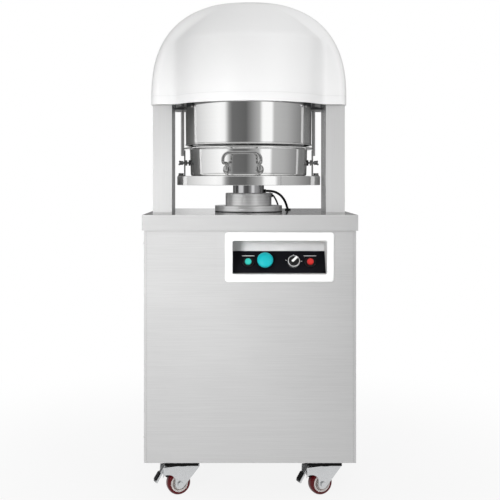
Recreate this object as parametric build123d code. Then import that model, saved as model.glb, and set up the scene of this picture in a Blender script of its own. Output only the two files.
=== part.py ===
from build123d import *
import math
import os

# Dough divider: a floor cabinet on castors, two posts, a domed hood over the cutting head, and a ram
# that lifts a round pan of dough against a press plate and a grid of knives.
# Millimetres, +Z up, origin on the floor below the ram axis. The operator stands at -Y.

# Table and cabinet
TABLE_HEIGHT = 731.0
TABLE_WIDTH = 546.0
TABLE_DEPTH = 500.0
TABLE_SKIN = 2.0
TABLE_LIP = 40.0
TABLE_CORNER = 4.0
LIP_CLEARANCE = 3.0
SHEET = 1.5
SIDE_FLANGE = 6.0
FLANGE_SEAM = 0.3
REAR_RECESS = 20.0
PANEL_ABOVE_CASTORS = 20.0
PANEL_HEADROOM = 2.0
VENT_COUNT = 9
VENT_LENGTH = 120.0
VENT_WIDTH = 6.0
VENT_PITCH = 18.0
VENT_BELOW_TABLE = 311.0

# Welded frame
FRAME_TUBE = 30.0
FRAME_WALL = 2.5
BEARER_WIDTH = 92.0
BED_THICKNESS = 20.0
BED_DEPTH = 220.0
BED_SIDE_GAP = 4.5

# Screws and bolts
SCREW_HEAD = 5.5
SCREW_DOME = 2.5
SCREW_SHANK = 2.0
SCREW_LENGTH = 9.0
SCREW_BELOW_TABLE = 73.0
SCREW_ABOVE_EDGE = 61.0
BOLT_CLEARANCE = 0.2
POST_BOLT = 6.0
POST_BOLT_Y = 42.0
POST_BOLT_EDGE = 3.0
HEAD_BOLT = 5.0
HEAD_BOLT_INSET = 26.0
HEAD_BOLT_Y = 24.0
FLANGE_BOLT = 5.0
FLANGE_BOLT_EDGE = 14.0
FLANGE_BOLT_COUNT = 6

# Castors
FORK_HEADROOM = 22.0
CASTOR_INSET = 81.5
CASTOR_SHIFT = 10.0
CASTOR_TRAIL = 12.0
CASTOR_HEADING = 200.0
WHEEL_RADIUS = 31.0
WHEEL_WIDTH = 28.0
WHEEL_TREAD = 8.0
WHEEL_ROUND = 4.0
AXLE_RADIUS = 4.0
FORK_SHEET = 3.0
FORK_GAP = 1.6
CASTOR_PLATE = (86.0, 62.0, 3.0)
CASTOR_RACE = 22.0
KINGPIN_RADIUS = 6.0
FORK_CROWN = 25.0
FORK_CROWN_DEPTH = 6.0
FORK_EYE = 12.8
FORK_NOSE = 41.0
FORK_TAIL = 8.0
FORK_LIP = ((1.5, 20.0), (-3.0, 26.0), (-11.0, 27.0), (-20.0, 25.0))
FORK_THROAT = 14.0
PEDAL_BEHIND_AXLE = 36.0
PEDAL_ABOVE_AXLE = 41.0
PEDAL_SLOPE = 57.0
PEDAL_LENGTH = 42.0
PEDAL_WIDTH = 24.0
PEDAL_SHEET = 3.0
PEDAL_PIN = 3.0
TURNING_GAP = 0.3
RUNNING_FIT = 0.1

# Posts and head
POST_INSET = 10.5
POST_WIDTH = 52.0
POST_DEPTH = 130.0
POST_WALL = 4.0
POST_HEIGHT = 296.0
POST_FOOT = 12.0
POST_CAP = 8.0
POST_DRAIN = 10.0
CUTOUT_GAP = 0.3
BRIDGE_FOOT = 12.0
BRIDGE_DEPTH = 80.0
BRIDGE_CHEEK = 18.0
CROSSHEAD_ABOVE_POSTS = 99.0
CROSSHEAD_THICKNESS = 22.0
CROSSHEAD_MARGIN = 11.0
CROSSHEAD_HALF_DEPTH = 66.0
BRIDGE_FOOT_INSET = 14.0
HOOD_TAB_DEPTH = 40.0

# Hood
HOOD_OVERHANG = 6.0
HOOD_SQUARING = 19.0
HOOD_FLATNESS = 170.0
HOOD_ARCH_RISE = 14.0
HOOD_WALL = 4.0
HOOD_FRONT = -75.0
HOOD_BACK = 195.0
HOOD_FRONT_ROUND = 24.0
HOOD_BACK_ROUND = 40.0
BULGE_FRONT = -190.0
BULGE_INSET = 64.5
BULGE_FLANK = 30.0
BULGE_EDGE_Y = -119.0
BULGE_CORNER_RISE = 173.0
BULGE_CREST = 88.0
BULGE_CREST_BOW = 8.0
BULGE_CREST_DROP = 5.0
HOOD_SCREW_Z = 6.0
HOOD_SCREW_Y = (8.0, 34.0)

# Pan, platform and ram
RAM_RADIUS = 43.5
RAM_STROKE = 80.0
RAM_BELOW_TABLE = 111.0
PISTON_STEP = 8.7
PISTON_LENGTH = 20.0
BARREL_WALL = 12.7
BARREL_BELOW_TABLE = 191.0
BARREL_CAP = 20.0
BARREL_CAP_STEP = 7.0
BARREL_GAP = 0.3
FLANGE_WIDTH = 29.5
FLANGE_THICKNESS = 15.0
GASKET_THICKNESS = 2.0
COLLAR_WALL = 21.0
COLLAR_HEIGHT = 35.0
COLLAR_CHAMFER = 2.0
RAM_FIT = 0.05
PLATFORM_MARGIN = 3.0
PLATFORM_ABOVE_TABLE = 99.0
PLATFORM_HEIGHT = 25.0
PLATFORM_PLATE = 4.0
PLATFORM_SKIRT = 3.0
PLATFORM_HUB_WALL = 16.5
SEAT_GAP = 0.3
PAN_RADIUS = 164.5
PAN_TAPER = 2.5
PAN_HEIGHT = 78.0
PAN_WALL = 2.0
PAN_FLOOR = 3.0
PAN_FOOT_CHAMFER = 3.0
PAN_FLANGE = 17.0
PAN_RIM = 4.0
PAN_DRAW = 430.0
HANDLE_ROD = 4.0
HANDLE_TURN = -6.0
HANDLE_HALF = 49.5
HANDLE_FOOT_X = 43.0
HANDLE_BAR = 60.0
HANDLE_REACH = 32.0
HANDLE_HOOK = 33.0
HANDLE_BEND = 13.0
HANDLE_HOOK_BEND = 7.0
HANDLE_PAD = (22.0, 27.0, 3.0)
HANDLE_PAD_CENTRE = 16.0
HANDLE_GAP = 0.3

# Pan brackets and wing screws
BRACKET_GAP = 13.0
BRACKET_SHEET = 3.0
BRACKET_WIDTH = 24.0
BRACKET_HEADROOM = 2.3
BRACKET_FOOT = 19.5
BRACKET_BOLT = 4.0
BRACKET_BOLT_REACH = 12.0
CLAMP_RISE = 36.7
CLAMP_TRAVEL = 4.0
CLAMP_PITCH = 1.25
CLAMP_NUT = 5.3
CLAMP_NUT_RADIUS = 7.5
CLAMP_SCREW = 4.0
CLAMP_NECK = 3.0
CLAMP_PAD = 8.0
CLAMP_PAD_THICKNESS = 4.2
CLAMP_SOCKET = 2.5
WING_HUB = 6.0
WING_GAP = 3.8
WING_HUB_LENGTH = 9.0
WING_LENGTH = 15.2
WING_SPAN = 15.0
WING_SHEET = 4.0
WING_TILT = 24.0

# Guard bowl and its guide rods
BOWL_STEP = 12.5
BOWL_TAPER = 1.5
BOWL_GAP = 5.7
BOWL_LAP = 13.0
BOWL_WALL = 2.0
BOWL_BEAD = 2.5
GUIDE_Y = 92.0
GUIDE_ROD = 5.0
GUIDE_GAP = 7.0
GUIDE_BELOW_BOWL = 25.0
GUIDE_HEADROOM = 4.0
LUG_THICKNESS = 8.0
LUG_WIDTH = 24.0
LUG_END = 11.0
ROD_BRACKET_HEIGHT = 5.0
ROD_BRACKET_EDGE = (9.0, 11.0)
ROD_BRACKET_LAP = 27.0

# Knives and press head
KNIFE_CLEARANCE = 6.0
KNIFE_SHEET = 2.5
KNIFE_GAP = 7.7
KNIFE_HEIGHT = 80.0
KNIFE_CELLS = (6, 12, 18)
CARRIER_LAP = 10.0
CARRIER_THICKNESS = 12.0
STANDOFF_RADIUS = 8.0
STANDOFF_EDGE = 9.0
STANDOFF_GAP = 7.0
STANDOFF_ANGLES = (20.0, 160.0, 200.0, 340.0)
PRESS_GAP = 0.75
PRESS_THICKNESS = 14.0
PRESS_STUD = 5.0
PRESS_STUD_GAP = 0.5
PRESS_INNER_STUD = 40.0
BACKPLATE_THICKNESS = 10.0
PRESS_TRAVEL = 60.0

# Power pack and electrics inside the cabinet
TANK_X = (-205.0, 35.0)
TANK_SETBACK = 38.5
TANK_HEIGHT = 180.0
TANK_WALL = 3.0
TANK_LID = 6.0
MOTOR_AT = (-115.0, 0.0)
MOTOR_RADIUS = 62.0
MOTOR_HEIGHT = 165.0
MOTOR_FLANGE = 78.0
MOTOR_FLANGE_THICKNESS = 10.0
MOTOR_FINS = 24
VALVE_AT = (0.0, 100.0)
VALVE_SIZE = (60.0, 60.0, 60.0)
PIPE_RADIUS = 6.0
PIPE_BEND = 25.0
ELECTRIC_X = (70.0, 230.0)
ELECTRIC_DEPTH = 116.0
ELECTRIC_SETBACK = 2.5
ELECTRIC_HEIGHT = 240.0
INLET_X = 150.0
INLET_Z = 215.0
INLET_BORE = 5.0
INLET_NUT = 12.0
INLET_REACH = 16.0
INLET_NECK = 8.0

# Control recess
BEZEL_X = (-63.5, 212.5)
BEZEL_BELOW_TABLE = 44.0
BEZEL_HEIGHT = 126.0
BEZEL_PROUD = 5.0
BEZEL_CORNER = 9.0
OPENING_X = (-44.0, 194.0)
OPENING_BORDER = (20.0, 22.0)
OPENING_CORNER = 4.0
RECESS_DEPTH = 58.0
PLATE_FRONT = 22.0
PLATE_TILT = 30.0
PLATE_LENGTH = 62.0
PLATE_THICKNESS = 3.0
PLATE_SIDE_GAP = 0.5
CONTROL_UP = 29.5
GREEN_X = -4.2
START_X = 39.1
SELECTOR_X = 112.8
RED_X = 155.3
SWITCH_BARREL = 11.0
SWITCH_DEPTH = 15.0
SWITCH_COLLAR = 14.0
SWITCH_COLLAR_HEIGHT = 4.0
SWITCH_BORE_DEPTH = 7.0
BUTTON_RADIUS = 8.3
BUTTON_TOP = 8.0
BUTTON_GAP = 0.4
BUTTON_TRAVEL = 3.5
START_RADIUS = 20.5
START_UNDERSIDE = 12.0
START_TOP = 26.0
START_STEM = 9.0
START_TRAVEL = 5.0
SELECTOR_RING = 16.0
SELECTOR_RING_HEIGHT = 12.0
SELECTOR_KNOB = 13.0
SELECTOR_LEVER = (7.0, 24.0, 9.0)
SELECTOR_POINTS = 45.0
SELECTOR_SWEEP = 90.0

# Ram position sensors and their cables
SENSOR_BLOCK = (13.0, 12.0, 10.0)
SENSOR_ANGLE = 40.0
SENSOR_GLAND = 8.0
SIDE_SENSOR_ANGLE = 20.0
SIDE_SENSOR_BLOCK = (6.0, 14.0, 12.0)
SIDE_SENSOR_DROP = 7.0
THICK_CABLE = 7.0
THIN_CABLE = 5.0
BEND_SHARE = 0.45
GROMMET_RADIUS = 8.5
GROMMET_NECK = 6.5
GROMMET_HEIGHT = 4.0

# Places that follow from the sizes above
SIDE_X = TABLE_WIDTH / 2 - TABLE_SKIN - LIP_CLEARANCE
FRONT_Y = -(TABLE_DEPTH / 2 - TABLE_SKIN - LIP_CLEARANCE)
REAR_EDGE = -FRONT_Y
REAR_Y = TABLE_DEPTH / 2 - REAR_RECESS
BED_TOP = TABLE_HEIGHT - TABLE_SKIN
BED_BOTTOM = BED_TOP - BED_THICKNESS
CASTOR_HEIGHT = 2 * WHEEL_RADIUS + FORK_HEADROOM
PANEL_BOTTOM = CASTOR_HEIGHT + PANEL_ABOVE_CASTORS
PANEL_TOP = BED_TOP - PANEL_HEADROOM
VENT_LOWEST = TABLE_HEIGHT - VENT_BELOW_TABLE
SCREW_HIGH = TABLE_HEIGHT - SCREW_BELOW_TABLE
SCREW_LOW = PANEL_BOTTOM + SCREW_ABOVE_EDGE
FRAME_X = SIDE_X - SHEET
FRAME_FRONT = FRONT_Y + SHEET
FRAME_REAR = REAR_Y - SHEET
RAIL_TOP = PANEL_BOTTOM + FRAME_TUBE
CASTOR_Y = (FRAME_FRONT + FRAME_TUBE + BEARER_WIDTH / 2, FRAME_REAR - FRAME_TUBE - BEARER_WIDTH / 2)
CASTOR_X = FRAME_X - CASTOR_INSET
PEDAL_PIVOT_X = CASTOR_TRAIL + PEDAL_BEHIND_AXLE
PEDAL_PIVOT_Z = WHEEL_RADIUS + PEDAL_ABOVE_AXLE
POST_OUTER = TABLE_WIDTH / 2 - POST_INSET
POST_INNER = POST_OUTER - POST_WIDTH
POST_TOP = BED_TOP + POST_HEIGHT
POST_BOLT_X = POST_INNER + POST_WALL + POST_BOLT + POST_BOLT_EDGE
HEAD_BOLT_X = POST_OUTER - HEAD_BOLT_INSET
BRIDGE_FOOT_END = POST_OUTER - BRIDGE_FOOT_INSET
HOOD_RIM = POST_TOP
HOOD_HALF = POST_OUTER + HOOD_OVERHANG
HOOD_SHOULDER = HOOD_HALF + HOOD_SQUARING
BULGE_FLARE = HOOD_HALF - BULGE_INSET
BULGE_EDGE = BULGE_FLARE - BULGE_FLANK
BULGE_CORNER = HOOD_RIM + BULGE_CORNER_RISE
HOOD_ARCH_Z = HOOD_RIM + HOOD_ARCH_RISE
HOOD_TOP = HOOD_ARCH_Z + HOOD_HALF
CROSSHEAD_BOTTOM = POST_TOP + CROSSHEAD_ABOVE_POSTS
CROSSHEAD_TOP = CROSSHEAD_BOTTOM + CROSSHEAD_THICKNESS
PISTON_RADIUS = RAM_RADIUS + PISTON_STEP
RAM_BOTTOM = TABLE_HEIGHT - RAM_BELOW_TABLE
BARREL_BORE = PISTON_RADIUS + RUNNING_FIT
BARREL_RADIUS = BARREL_BORE + BARREL_WALL
BARREL_BOTTOM = TABLE_HEIGHT - BARREL_BELOW_TABLE
BARREL_CAP_RADIUS = BARREL_RADIUS + BARREL_CAP_STEP
COLLAR_RADIUS = RAM_RADIUS + COLLAR_WALL
FLANGE_RADIUS = COLLAR_RADIUS + FLANGE_WIDTH
FLANGE_BOLT_CIRCLE = FLANGE_RADIUS - FLANGE_BOLT_EDGE
SENSOR_CIRCLE = (RAM_RADIUS + COLLAR_RADIUS) / 2
GASKET_TOP = TABLE_HEIGHT + GASKET_THICKNESS
FLANGE_TOP = GASKET_TOP + FLANGE_THICKNESS
COLLAR_TOP = FLANGE_TOP + COLLAR_HEIGHT
SIDE_SENSOR_Z = COLLAR_TOP - SIDE_SENSOR_DROP
PAN_FOOT_RADIUS = PAN_RADIUS - PAN_TAPER
PAN_RIM_RADIUS = PAN_RADIUS + PAN_FLANGE
BRACKET_X = PAN_RADIUS + BRACKET_GAP
BRACKET_BOLT_X = BRACKET_X + BRACKET_BOLT_REACH
PLATFORM_RADIUS = BRACKET_X + BRACKET_FOOT + PLATFORM_MARGIN
PLATFORM_HUB = RAM_RADIUS + PLATFORM_HUB_WALL
PLATFORM_TOP = TABLE_HEIGHT + PLATFORM_ABOVE_TABLE
PLATFORM_BOTTOM = PLATFORM_TOP - PLATFORM_HEIGHT
RAM_TOP = PLATFORM_TOP - PLATFORM_PLATE
PAN_BOTTOM = PLATFORM_TOP + SEAT_GAP
PAN_TOP = PAN_BOTTOM + PAN_HEIGHT
BRACKET_OUTER = BRACKET_X + BRACKET_SHEET
BRACKET_TOP = PAN_TOP - PAN_RIM - BRACKET_HEADROOM
CLAMP_Z = PAN_BOTTOM + CLAMP_RISE
WING_START = BRACKET_OUTER + WING_GAP
WING_END = WING_START + WING_LENGTH
BOWL_RADIUS = PAN_RADIUS + BOWL_STEP
BOWL_FOOT_RADIUS = BOWL_RADIUS - BOWL_TAPER
BOWL_BOTTOM = PAN_TOP + BOWL_GAP
BOWL_TOP = POST_TOP + BOWL_LAP
KNIFE_RADIUS = PAN_FOOT_RADIUS - KNIFE_CLEARANCE
KNIFE_EDGE = PAN_TOP + KNIFE_GAP
CARRIER_RADIUS = KNIFE_RADIUS + CARRIER_LAP
STANDOFF_CIRCLE = CARRIER_RADIUS - STANDOFF_EDGE
BACKPLATE_RADIUS = STANDOFF_CIRCLE - STANDOFF_RADIUS - STANDOFF_GAP
CROSSHEAD_HALF = (STANDOFF_CIRCLE + CROSSHEAD_MARGIN, CROSSHEAD_HALF_DEPTH)
CARRIER_BOTTOM = KNIFE_EDGE + KNIFE_HEIGHT
CARRIER_TOP = CARRIER_BOTTOM + CARRIER_THICKNESS
BACKPLATE_BOTTOM = CARRIER_TOP + SEAT_GAP
BEZEL_Z = (TABLE_HEIGHT - BEZEL_BELOW_TABLE - BEZEL_HEIGHT, TABLE_HEIGHT - BEZEL_BELOW_TABLE)
OPENING_Z = (BEZEL_Z[0] + OPENING_BORDER[0], BEZEL_Z[1] - OPENING_BORDER[1])
RECESS_BACK = FRONT_Y + RECESS_DEPTH
PLATE_LOW = (FRONT_Y + PLATE_FRONT, OPENING_Z[0] + PLATE_SIDE_GAP)
PLATE_ANGLE = math.radians(PLATE_TILT)
PLATE_NORMAL = (0.0, -math.cos(PLATE_ANGLE), math.sin(PLATE_ANGLE))
PLATE_UP = (0.0, math.sin(PLATE_ANGLE), math.cos(PLATE_ANGLE))
COUNT = sum(KNIFE_CELLS)
KNIFE_RINGS = [KNIFE_RADIUS * math.sqrt(sum(KNIFE_CELLS[:i]) / COUNT) for i in range(len(KNIFE_CELLS) + 1)]
STUD_CIRCLES = [PRESS_INNER_STUD] + [
    (KNIFE_RINGS[i] + KNIFE_RINGS[i + 1]) / 2 for i in range(1, len(KNIFE_CELLS))
]
PAN_SLOPE = (PAN_RADIUS - PAN_FOOT_RADIUS) / PAN_HEIGHT
CLAMP_PAD_X = PAN_FOOT_RADIUS + PAN_SLOPE * (CLAMP_Z + CLAMP_PAD - PAN_BOTTOM) + SEAT_GAP
GUIDE_BRACKET_BOTTOM = POST_TOP - ROD_BRACKET_HEIGHT
GUIDE_CIRCLE = PLATFORM_RADIUS + GUIDE_ROD + GUIDE_GAP
GUIDE_X = math.sqrt(GUIDE_CIRCLE**2 - GUIDE_Y**2)
GUIDE_BOTTOM = BOWL_BOTTOM - GUIDE_BELOW_BOWL
GUIDE_TOP = CROSSHEAD_BOTTOM - GUIDE_HEADROOM
ROD_BRACKET_X = GUIDE_X - ROD_BRACKET_EDGE[0]
ROD_BRACKET_Y = (POST_DEPTH / 2 - ROD_BRACKET_LAP, GUIDE_Y + ROD_BRACKET_EDGE[1])
GUIDE_ANGLE = math.degrees(math.atan2(GUIDE_Y, GUIDE_X))
LUG_BOTTOM = POST_TOP + SEAT_GAP
TANK_Y = (FRAME_FRONT + FRAME_TUBE + TANK_SETBACK, FRAME_REAR - FRAME_TUBE - TANK_SETBACK)
ELECTRIC_REAR = FRAME_REAR - FRAME_TUBE - ELECTRIC_SETBACK
ELECTRIC_Y = (ELECTRIC_REAR - ELECTRIC_DEPTH, ELECTRIC_REAR)

# Cable routes from each sensor to its grommet, with heights above the table
THICK_RUN = [
    (46.4, 38.9, 57.0),
    (70.0, 59.0, 57.0),
    (92.0, 80.0, 47.0),
    (107.0, 101.0, 30.0),
    (115.0, 117.0, 11.0),
    (118.0, 125.0, 0.0),
]
THIN_RUN = [
    (63.3, 31.1, 48.5),
    (71.0, 56.0, 45.0),
    (80.0, 86.0, 33.0),
    (88.0, 113.0, 17.0),
    (93.0, 132.0, 0.0),
]
THICK_ROUTE = [(x, y, TABLE_HEIGHT + rise) for x, y, rise in THICK_RUN]
THIN_ROUTE = [(x, y, TABLE_HEIGHT + rise) for x, y, rise in THIN_RUN]


def block(x, y, z):
    """Box between two limits on each axis."""
    centre = [(low + high) / 2 for low, high in (x, y, z)]
    size = [high - low for low, high in (x, y, z)]
    return Pos(*centre) * Box(*size)


def rod(radius, z, x=0.0, y=0.0):
    """Upright round bar between two heights."""
    return Pos(x, y, (z[0] + z[1]) / 2) * Cylinder(radius, z[1] - z[0])


def ring(outer, inner, z, x=0.0, y=0.0):
    """Upright tube between two heights."""
    return rod(outer, z, x, y) - rod(inner, z, x, y)


def turned(points):
    """Solid turned about the Z axis from a closed outline of radius and height."""
    return revolve(Plane.XZ * make_face(Polyline(*points, close=True)), axis=Axis.Z)


def slab_xz(face, y):
    """Plate with an outline in X and Z between two depths."""
    return Pos(0, y[1], 0) * extrude(Plane.XZ * face, amount=y[1] - y[0])


def group(*shapes):
    """Several separate solids in one node."""
    return Compound([solid for shape in shapes for solid in shape.solids()])


def mirrored(shape):
    """The same piece on the other side of the machine."""
    return mirror(shape, about=Plane.YZ)


def dome_screw():
    """Cover screw with a domed head above z = 0 and its shank below."""
    sphere = (SCREW_HEAD**2 + SCREW_DOME**2) / (2 * SCREW_DOME)
    half = math.asin(SCREW_HEAD / sphere) / 2
    middle = (sphere * math.sin(half), SCREW_DOME - sphere + sphere * math.cos(half))
    shank = Polyline((0, SCREW_DOME), (0, -SCREW_LENGTH), (SCREW_SHANK, -SCREW_LENGTH), (SCREW_SHANK, 0),
                     (SCREW_HEAD, 0))
    dome = ThreePointArc((SCREW_HEAD, 0), middle, (0, SCREW_DOME))
    return revolve(Plane.XZ * make_face([*shank.edges(), dome]), axis=Axis.Z)


def hex_bolt(shank, length):
    """Hexagon bolt with its head above z = 0 and its shank below."""
    return extrude(RegularPolygon(shank * 1.8, 6), amount=shank * 1.3) + rod(shank, (-length, 0))


def side_screw_places():
    """Places of the screws that hold the side panels, on the +X side."""
    depths = (FRAME_FRONT + FRAME_TUBE / 2, FRAME_REAR - FRAME_TUBE / 2)
    return [(SIDE_X, y, z) for y in depths for z in (SCREW_LOW, SCREW_HIGH)]


def rear_screw_places():
    """Places of the screws that hold the rear panel, on the +X side."""
    return [(FRAME_X - FRAME_TUBE / 2, REAR_Y, z) for z in (SCREW_LOW, SCREW_HIGH)]


def hood_screw_places():
    """Places of the screws that hold the hood to the bridge, on the +X side."""
    return [(HOOD_HALF, y, HOOD_RIM + HOOD_SCREW_Z) for y in HOOD_SCREW_Y]


def screw_set(shape):
    """One shape at every cover screw, with its axis along that screw."""
    sideways = [Plane(place, z_dir=(1, 0, 0)) * shape for place in side_screw_places() + hood_screw_places()]
    backward = [Plane(place, z_dir=(0, 1, 0)) * shape for place in rear_screw_places()]
    right = sideways + backward
    return right + [mirrored(piece) for piece in right]


def screw_holes():
    """Clearance holes for every cover screw."""
    depth = SCREW_LENGTH + 1.0
    return screw_set(Pos(0, 0, -depth / 2) * Cylinder(SCREW_SHANK + BOLT_CLEARANCE, depth + SHEET))


def cover_screws():
    """Domed screws of the panels and the hood."""
    return group(*screw_set(dome_screw()))


def tube_between(x, y, z, along):
    """Square tube between limits on each axis, open at both ends along one of them."""
    limits = [x, y, z]
    bore = [(low + FRAME_WALL, high - FRAME_WALL) for low, high in limits]
    bore[along] = limits[along]
    return block(*limits) - block(*bore)


def base_frame():
    """Welded tube frame: bottom rails, castor bearers and pads, uprights and top rails."""
    inner_x = FRAME_X - FRAME_TUBE
    inner_front = FRAME_FRONT + FRAME_TUBE
    inner_rear = FRAME_REAR - FRAME_TUBE
    low = (PANEL_BOTTOM, RAIL_TOP)
    top_low = BED_BOTTOM - FRAME_TUBE
    right = (inner_x, FRAME_X)
    pieces = [
        tube_between((-inner_x, inner_x), (FRAME_FRONT, inner_front), low, 0),
        tube_between((-inner_x, inner_x), (inner_rear, FRAME_REAR), low, 0),
        tube_between((-inner_x, inner_x), (inner_front, inner_front + BEARER_WIDTH), low, 0),
        tube_between((-inner_x, inner_x), (inner_rear - BEARER_WIDTH, inner_rear), low, 0),
    ]
    sides = [
        tube_between(right, (FRAME_FRONT, FRAME_REAR), low, 1),
        tube_between(right, (FRAME_FRONT, FRAME_REAR), (top_low, BED_BOTTOM), 1),
    ]
    for y in ((FRAME_FRONT, inner_front), (inner_rear, FRAME_REAR)):
        sides.append(tube_between(right, y, (RAIL_TOP, top_low), 2))
    half_x = CASTOR_PLATE[0] / 2
    half_y = CASTOR_PLATE[1] / 2 - 1
    pieces += sides + [mirrored(piece) for piece in sides]
    for x, y in castor_places().values():
        pad_x = (x - half_x, x + half_x)
        pad_y = (y - half_y, y + half_y)
        pieces.append(block(pad_x, pad_y, (CASTOR_HEIGHT, PANEL_BOTTOM)))
    holes = screw_holes()
    return group(*[piece - holes for piece in pieces])


def post_bolt_places():
    """Places of the bolts from the bed plate up into the posts."""
    return [(side * POST_BOLT_X, y) for side in (-1, 1) for y in (-POST_BOLT_Y, POST_BOLT_Y)]


def flange_bolt_places():
    """Places of the bolts from the bed plate up into the ram flange."""
    step = 360 / FLANGE_BOLT_COUNT
    return [polar(FLANGE_BOLT_CIRCLE, step * (i + 0.5)) for i in range(FLANGE_BOLT_COUNT)]


def head_bolt_places():
    """Places of the bolts from the bridge feet down into the post caps."""
    return [(side * HEAD_BOLT_X, y) for side in (-1, 1) for y in (-HEAD_BOLT_Y, HEAD_BOLT_Y)]


def standoff_places():
    """Places of the standoffs that hang the knife carrier from the crosshead."""
    return [polar(STANDOFF_CIRCLE, angle) for angle in STANDOFF_ANGLES]


def polar(radius, angle):
    """Point on a circle about the ram axis, with its angle in degrees."""
    return radius * math.cos(math.radians(angle)), radius * math.sin(math.radians(angle))


def bolt_holes(places, radius, z):
    """Clearance holes at a set of places between two heights."""
    return [rod(radius + BOLT_CLEARANCE, z, x, y) for x, y in places]


def frame_bolts():
    """Bolts of the posts, the ram flange, the bridge and the standoffs."""
    upward = Rot(180, 0, 0)
    post_length = BED_THICKNESS + TABLE_SKIN + POST_FOOT - TABLE_SKIN
    flange_length = BED_THICKNESS + TABLE_SKIN + GASKET_THICKNESS + FLANGE_THICKNESS * 0.7
    head_length = BRIDGE_FOOT + POST_CAP
    standoff_length = CROSSHEAD_THICKNESS + 20.0
    bolts = [Pos(x, y, BED_BOTTOM) * upward * hex_bolt(POST_BOLT, post_length) for x, y in post_bolt_places()]
    for x, y in flange_bolt_places():
        bolts.append(Pos(x, y, BED_BOTTOM) * upward * hex_bolt(FLANGE_BOLT, flange_length))
    for x, y in head_bolt_places():
        bolts.append(Pos(x, y, POST_TOP + BRIDGE_FOOT) * hex_bolt(HEAD_BOLT, head_length))
    for x, y in standoff_places():
        bolts.append(Pos(x, y, CROSSHEAD_TOP) * hex_bolt(HEAD_BOLT, standoff_length))
    return group(*bolts)


def bed_plate():
    """Thick plate that carries the posts and the ram."""
    half = FRAME_X - BED_SIDE_GAP
    plate = block((-half, half), (-BED_DEPTH / 2, BED_DEPTH / 2), (BED_BOTTOM, BED_TOP))
    depth = (BED_BOTTOM - 1, BED_TOP + 1)
    holes = [rod(BARREL_RADIUS + BARREL_GAP, depth)]
    holes += bolt_holes(post_bolt_places(), POST_BOLT, depth)
    holes += bolt_holes(flange_bolt_places(), FLANGE_BOLT, depth)
    return plate - holes


def table_top():
    """Folded sheet table with a lip all round, cut out for the posts, the ram and the cables."""
    half_x = TABLE_WIDTH / 2
    half_y = TABLE_DEPTH / 2
    bottom = TABLE_HEIGHT - TABLE_LIP
    skin = block((-half_x, half_x), (-half_y, half_y), (bottom, TABLE_HEIGHT))
    skin = fillet(skin.edges().filter_by(Axis.Z), TABLE_CORNER)
    skin = fillet(skin.faces().sort_by(Axis.Z)[-1].edges(), TABLE_SKIN * 0.8)
    hollow = block((-half_x + TABLE_SKIN, half_x - TABLE_SKIN), (-half_y + TABLE_SKIN, half_y - TABLE_SKIN),
                   (bottom - 1, BED_TOP))
    hollow = fillet(hollow.edges().filter_by(Axis.Z), TABLE_CORNER - TABLE_SKIN)
    depth = (BED_TOP - 1, TABLE_HEIGHT + 1)
    post_y = POST_DEPTH / 2 + CUTOUT_GAP
    cutout = block((POST_INNER - CUTOUT_GAP, POST_OUTER + CUTOUT_GAP), (-post_y, post_y), depth)
    holes = [cutout, mirrored(cutout), rod(BARREL_RADIUS + BARREL_GAP, depth)]
    holes += bolt_holes(flange_bolt_places(), FLANGE_BOLT, depth)
    holes += [rod(GROMMET_NECK, depth, route[-1][0], route[-1][1]) for route in (THICK_ROUTE, THIN_ROUTE)]
    return skin - hollow - holes


def recess_limits(wall):
    """Limits of the control recess, grown by a wall on every closed side."""
    x = (OPENING_X[0] - wall, OPENING_X[1] + wall)
    z = (OPENING_Z[0] - wall, OPENING_Z[1] + wall)
    return x, z


def front_panel():
    """Front sheet between the two side panels' flanges, cut out for the control recess."""
    half = SIDE_X - SIDE_FLANGE - FLANGE_SEAM
    sheet = block((-half, half), (FRONT_Y, FRAME_FRONT), (PANEL_BOTTOM, PANEL_TOP))
    x, z = recess_limits(SHEET + CUTOUT_GAP)
    return sheet - block(x, (FRONT_Y - 1, FRAME_FRONT + 1), z)


def right_side_panel():
    """Side sheet with a narrow flange folded over the front edge."""
    side = block((FRAME_X, SIDE_X), (FRONT_Y, REAR_EDGE), (PANEL_BOTTOM, PANEL_TOP))
    flange = block((SIDE_X - SIDE_FLANGE, SIDE_X), (FRONT_Y, FRAME_FRONT), (PANEL_BOTTOM, PANEL_TOP))
    return side + flange - screw_holes()


def rear_panel():
    """Recessed rear sheet with two columns of cooling slots and the hole for the mains gland."""
    sheet = block((-FRAME_X, FRAME_X), (FRAME_REAR, REAR_Y), (PANEL_BOTTOM, PANEL_TOP))
    slot = extrude(SlotOverall(VENT_LENGTH, VENT_WIDTH), amount=SHEET * 2, both=True)
    slots = []
    for side in (-1, 1):
        for i in range(VENT_COUNT):
            place = Pos(side * FRAME_X / 2, REAR_Y, VENT_LOWEST + i * VENT_PITCH)
            slots.append(place * Rot(90, 0, 0) * slot)
    neck = Pos(INLET_X, REAR_Y, INLET_Z) * Rot(90, 0, 0) * Cylinder(INLET_NECK, SHEET * 4)
    return sheet - slots - neck - screw_holes()


def right_post():
    """Box-section post with a welded foot and cap."""
    half = POST_DEPTH / 2
    tube = block((POST_INNER, POST_OUTER), (-half, half), (BED_TOP, POST_TOP))
    hollow = block((POST_INNER + POST_WALL, POST_OUTER - POST_WALL), (-half + POST_WALL, half - POST_WALL),
                   (BED_TOP + POST_FOOT, POST_TOP - POST_CAP))
    middle = (POST_INNER + POST_OUTER) / 2
    drain = rod(POST_DRAIN, (POST_TOP - POST_CAP - 1, POST_TOP + 1), middle, 0)
    holes = bolt_holes(post_bolt_places(), POST_BOLT, (BED_TOP - 1, BED_TOP + POST_FOOT + 1))
    holes += bolt_holes(head_bolt_places(), HEAD_BOLT, (POST_TOP - POST_CAP - 1, POST_TOP + 1))
    return tube - hollow - drain - holes


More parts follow.
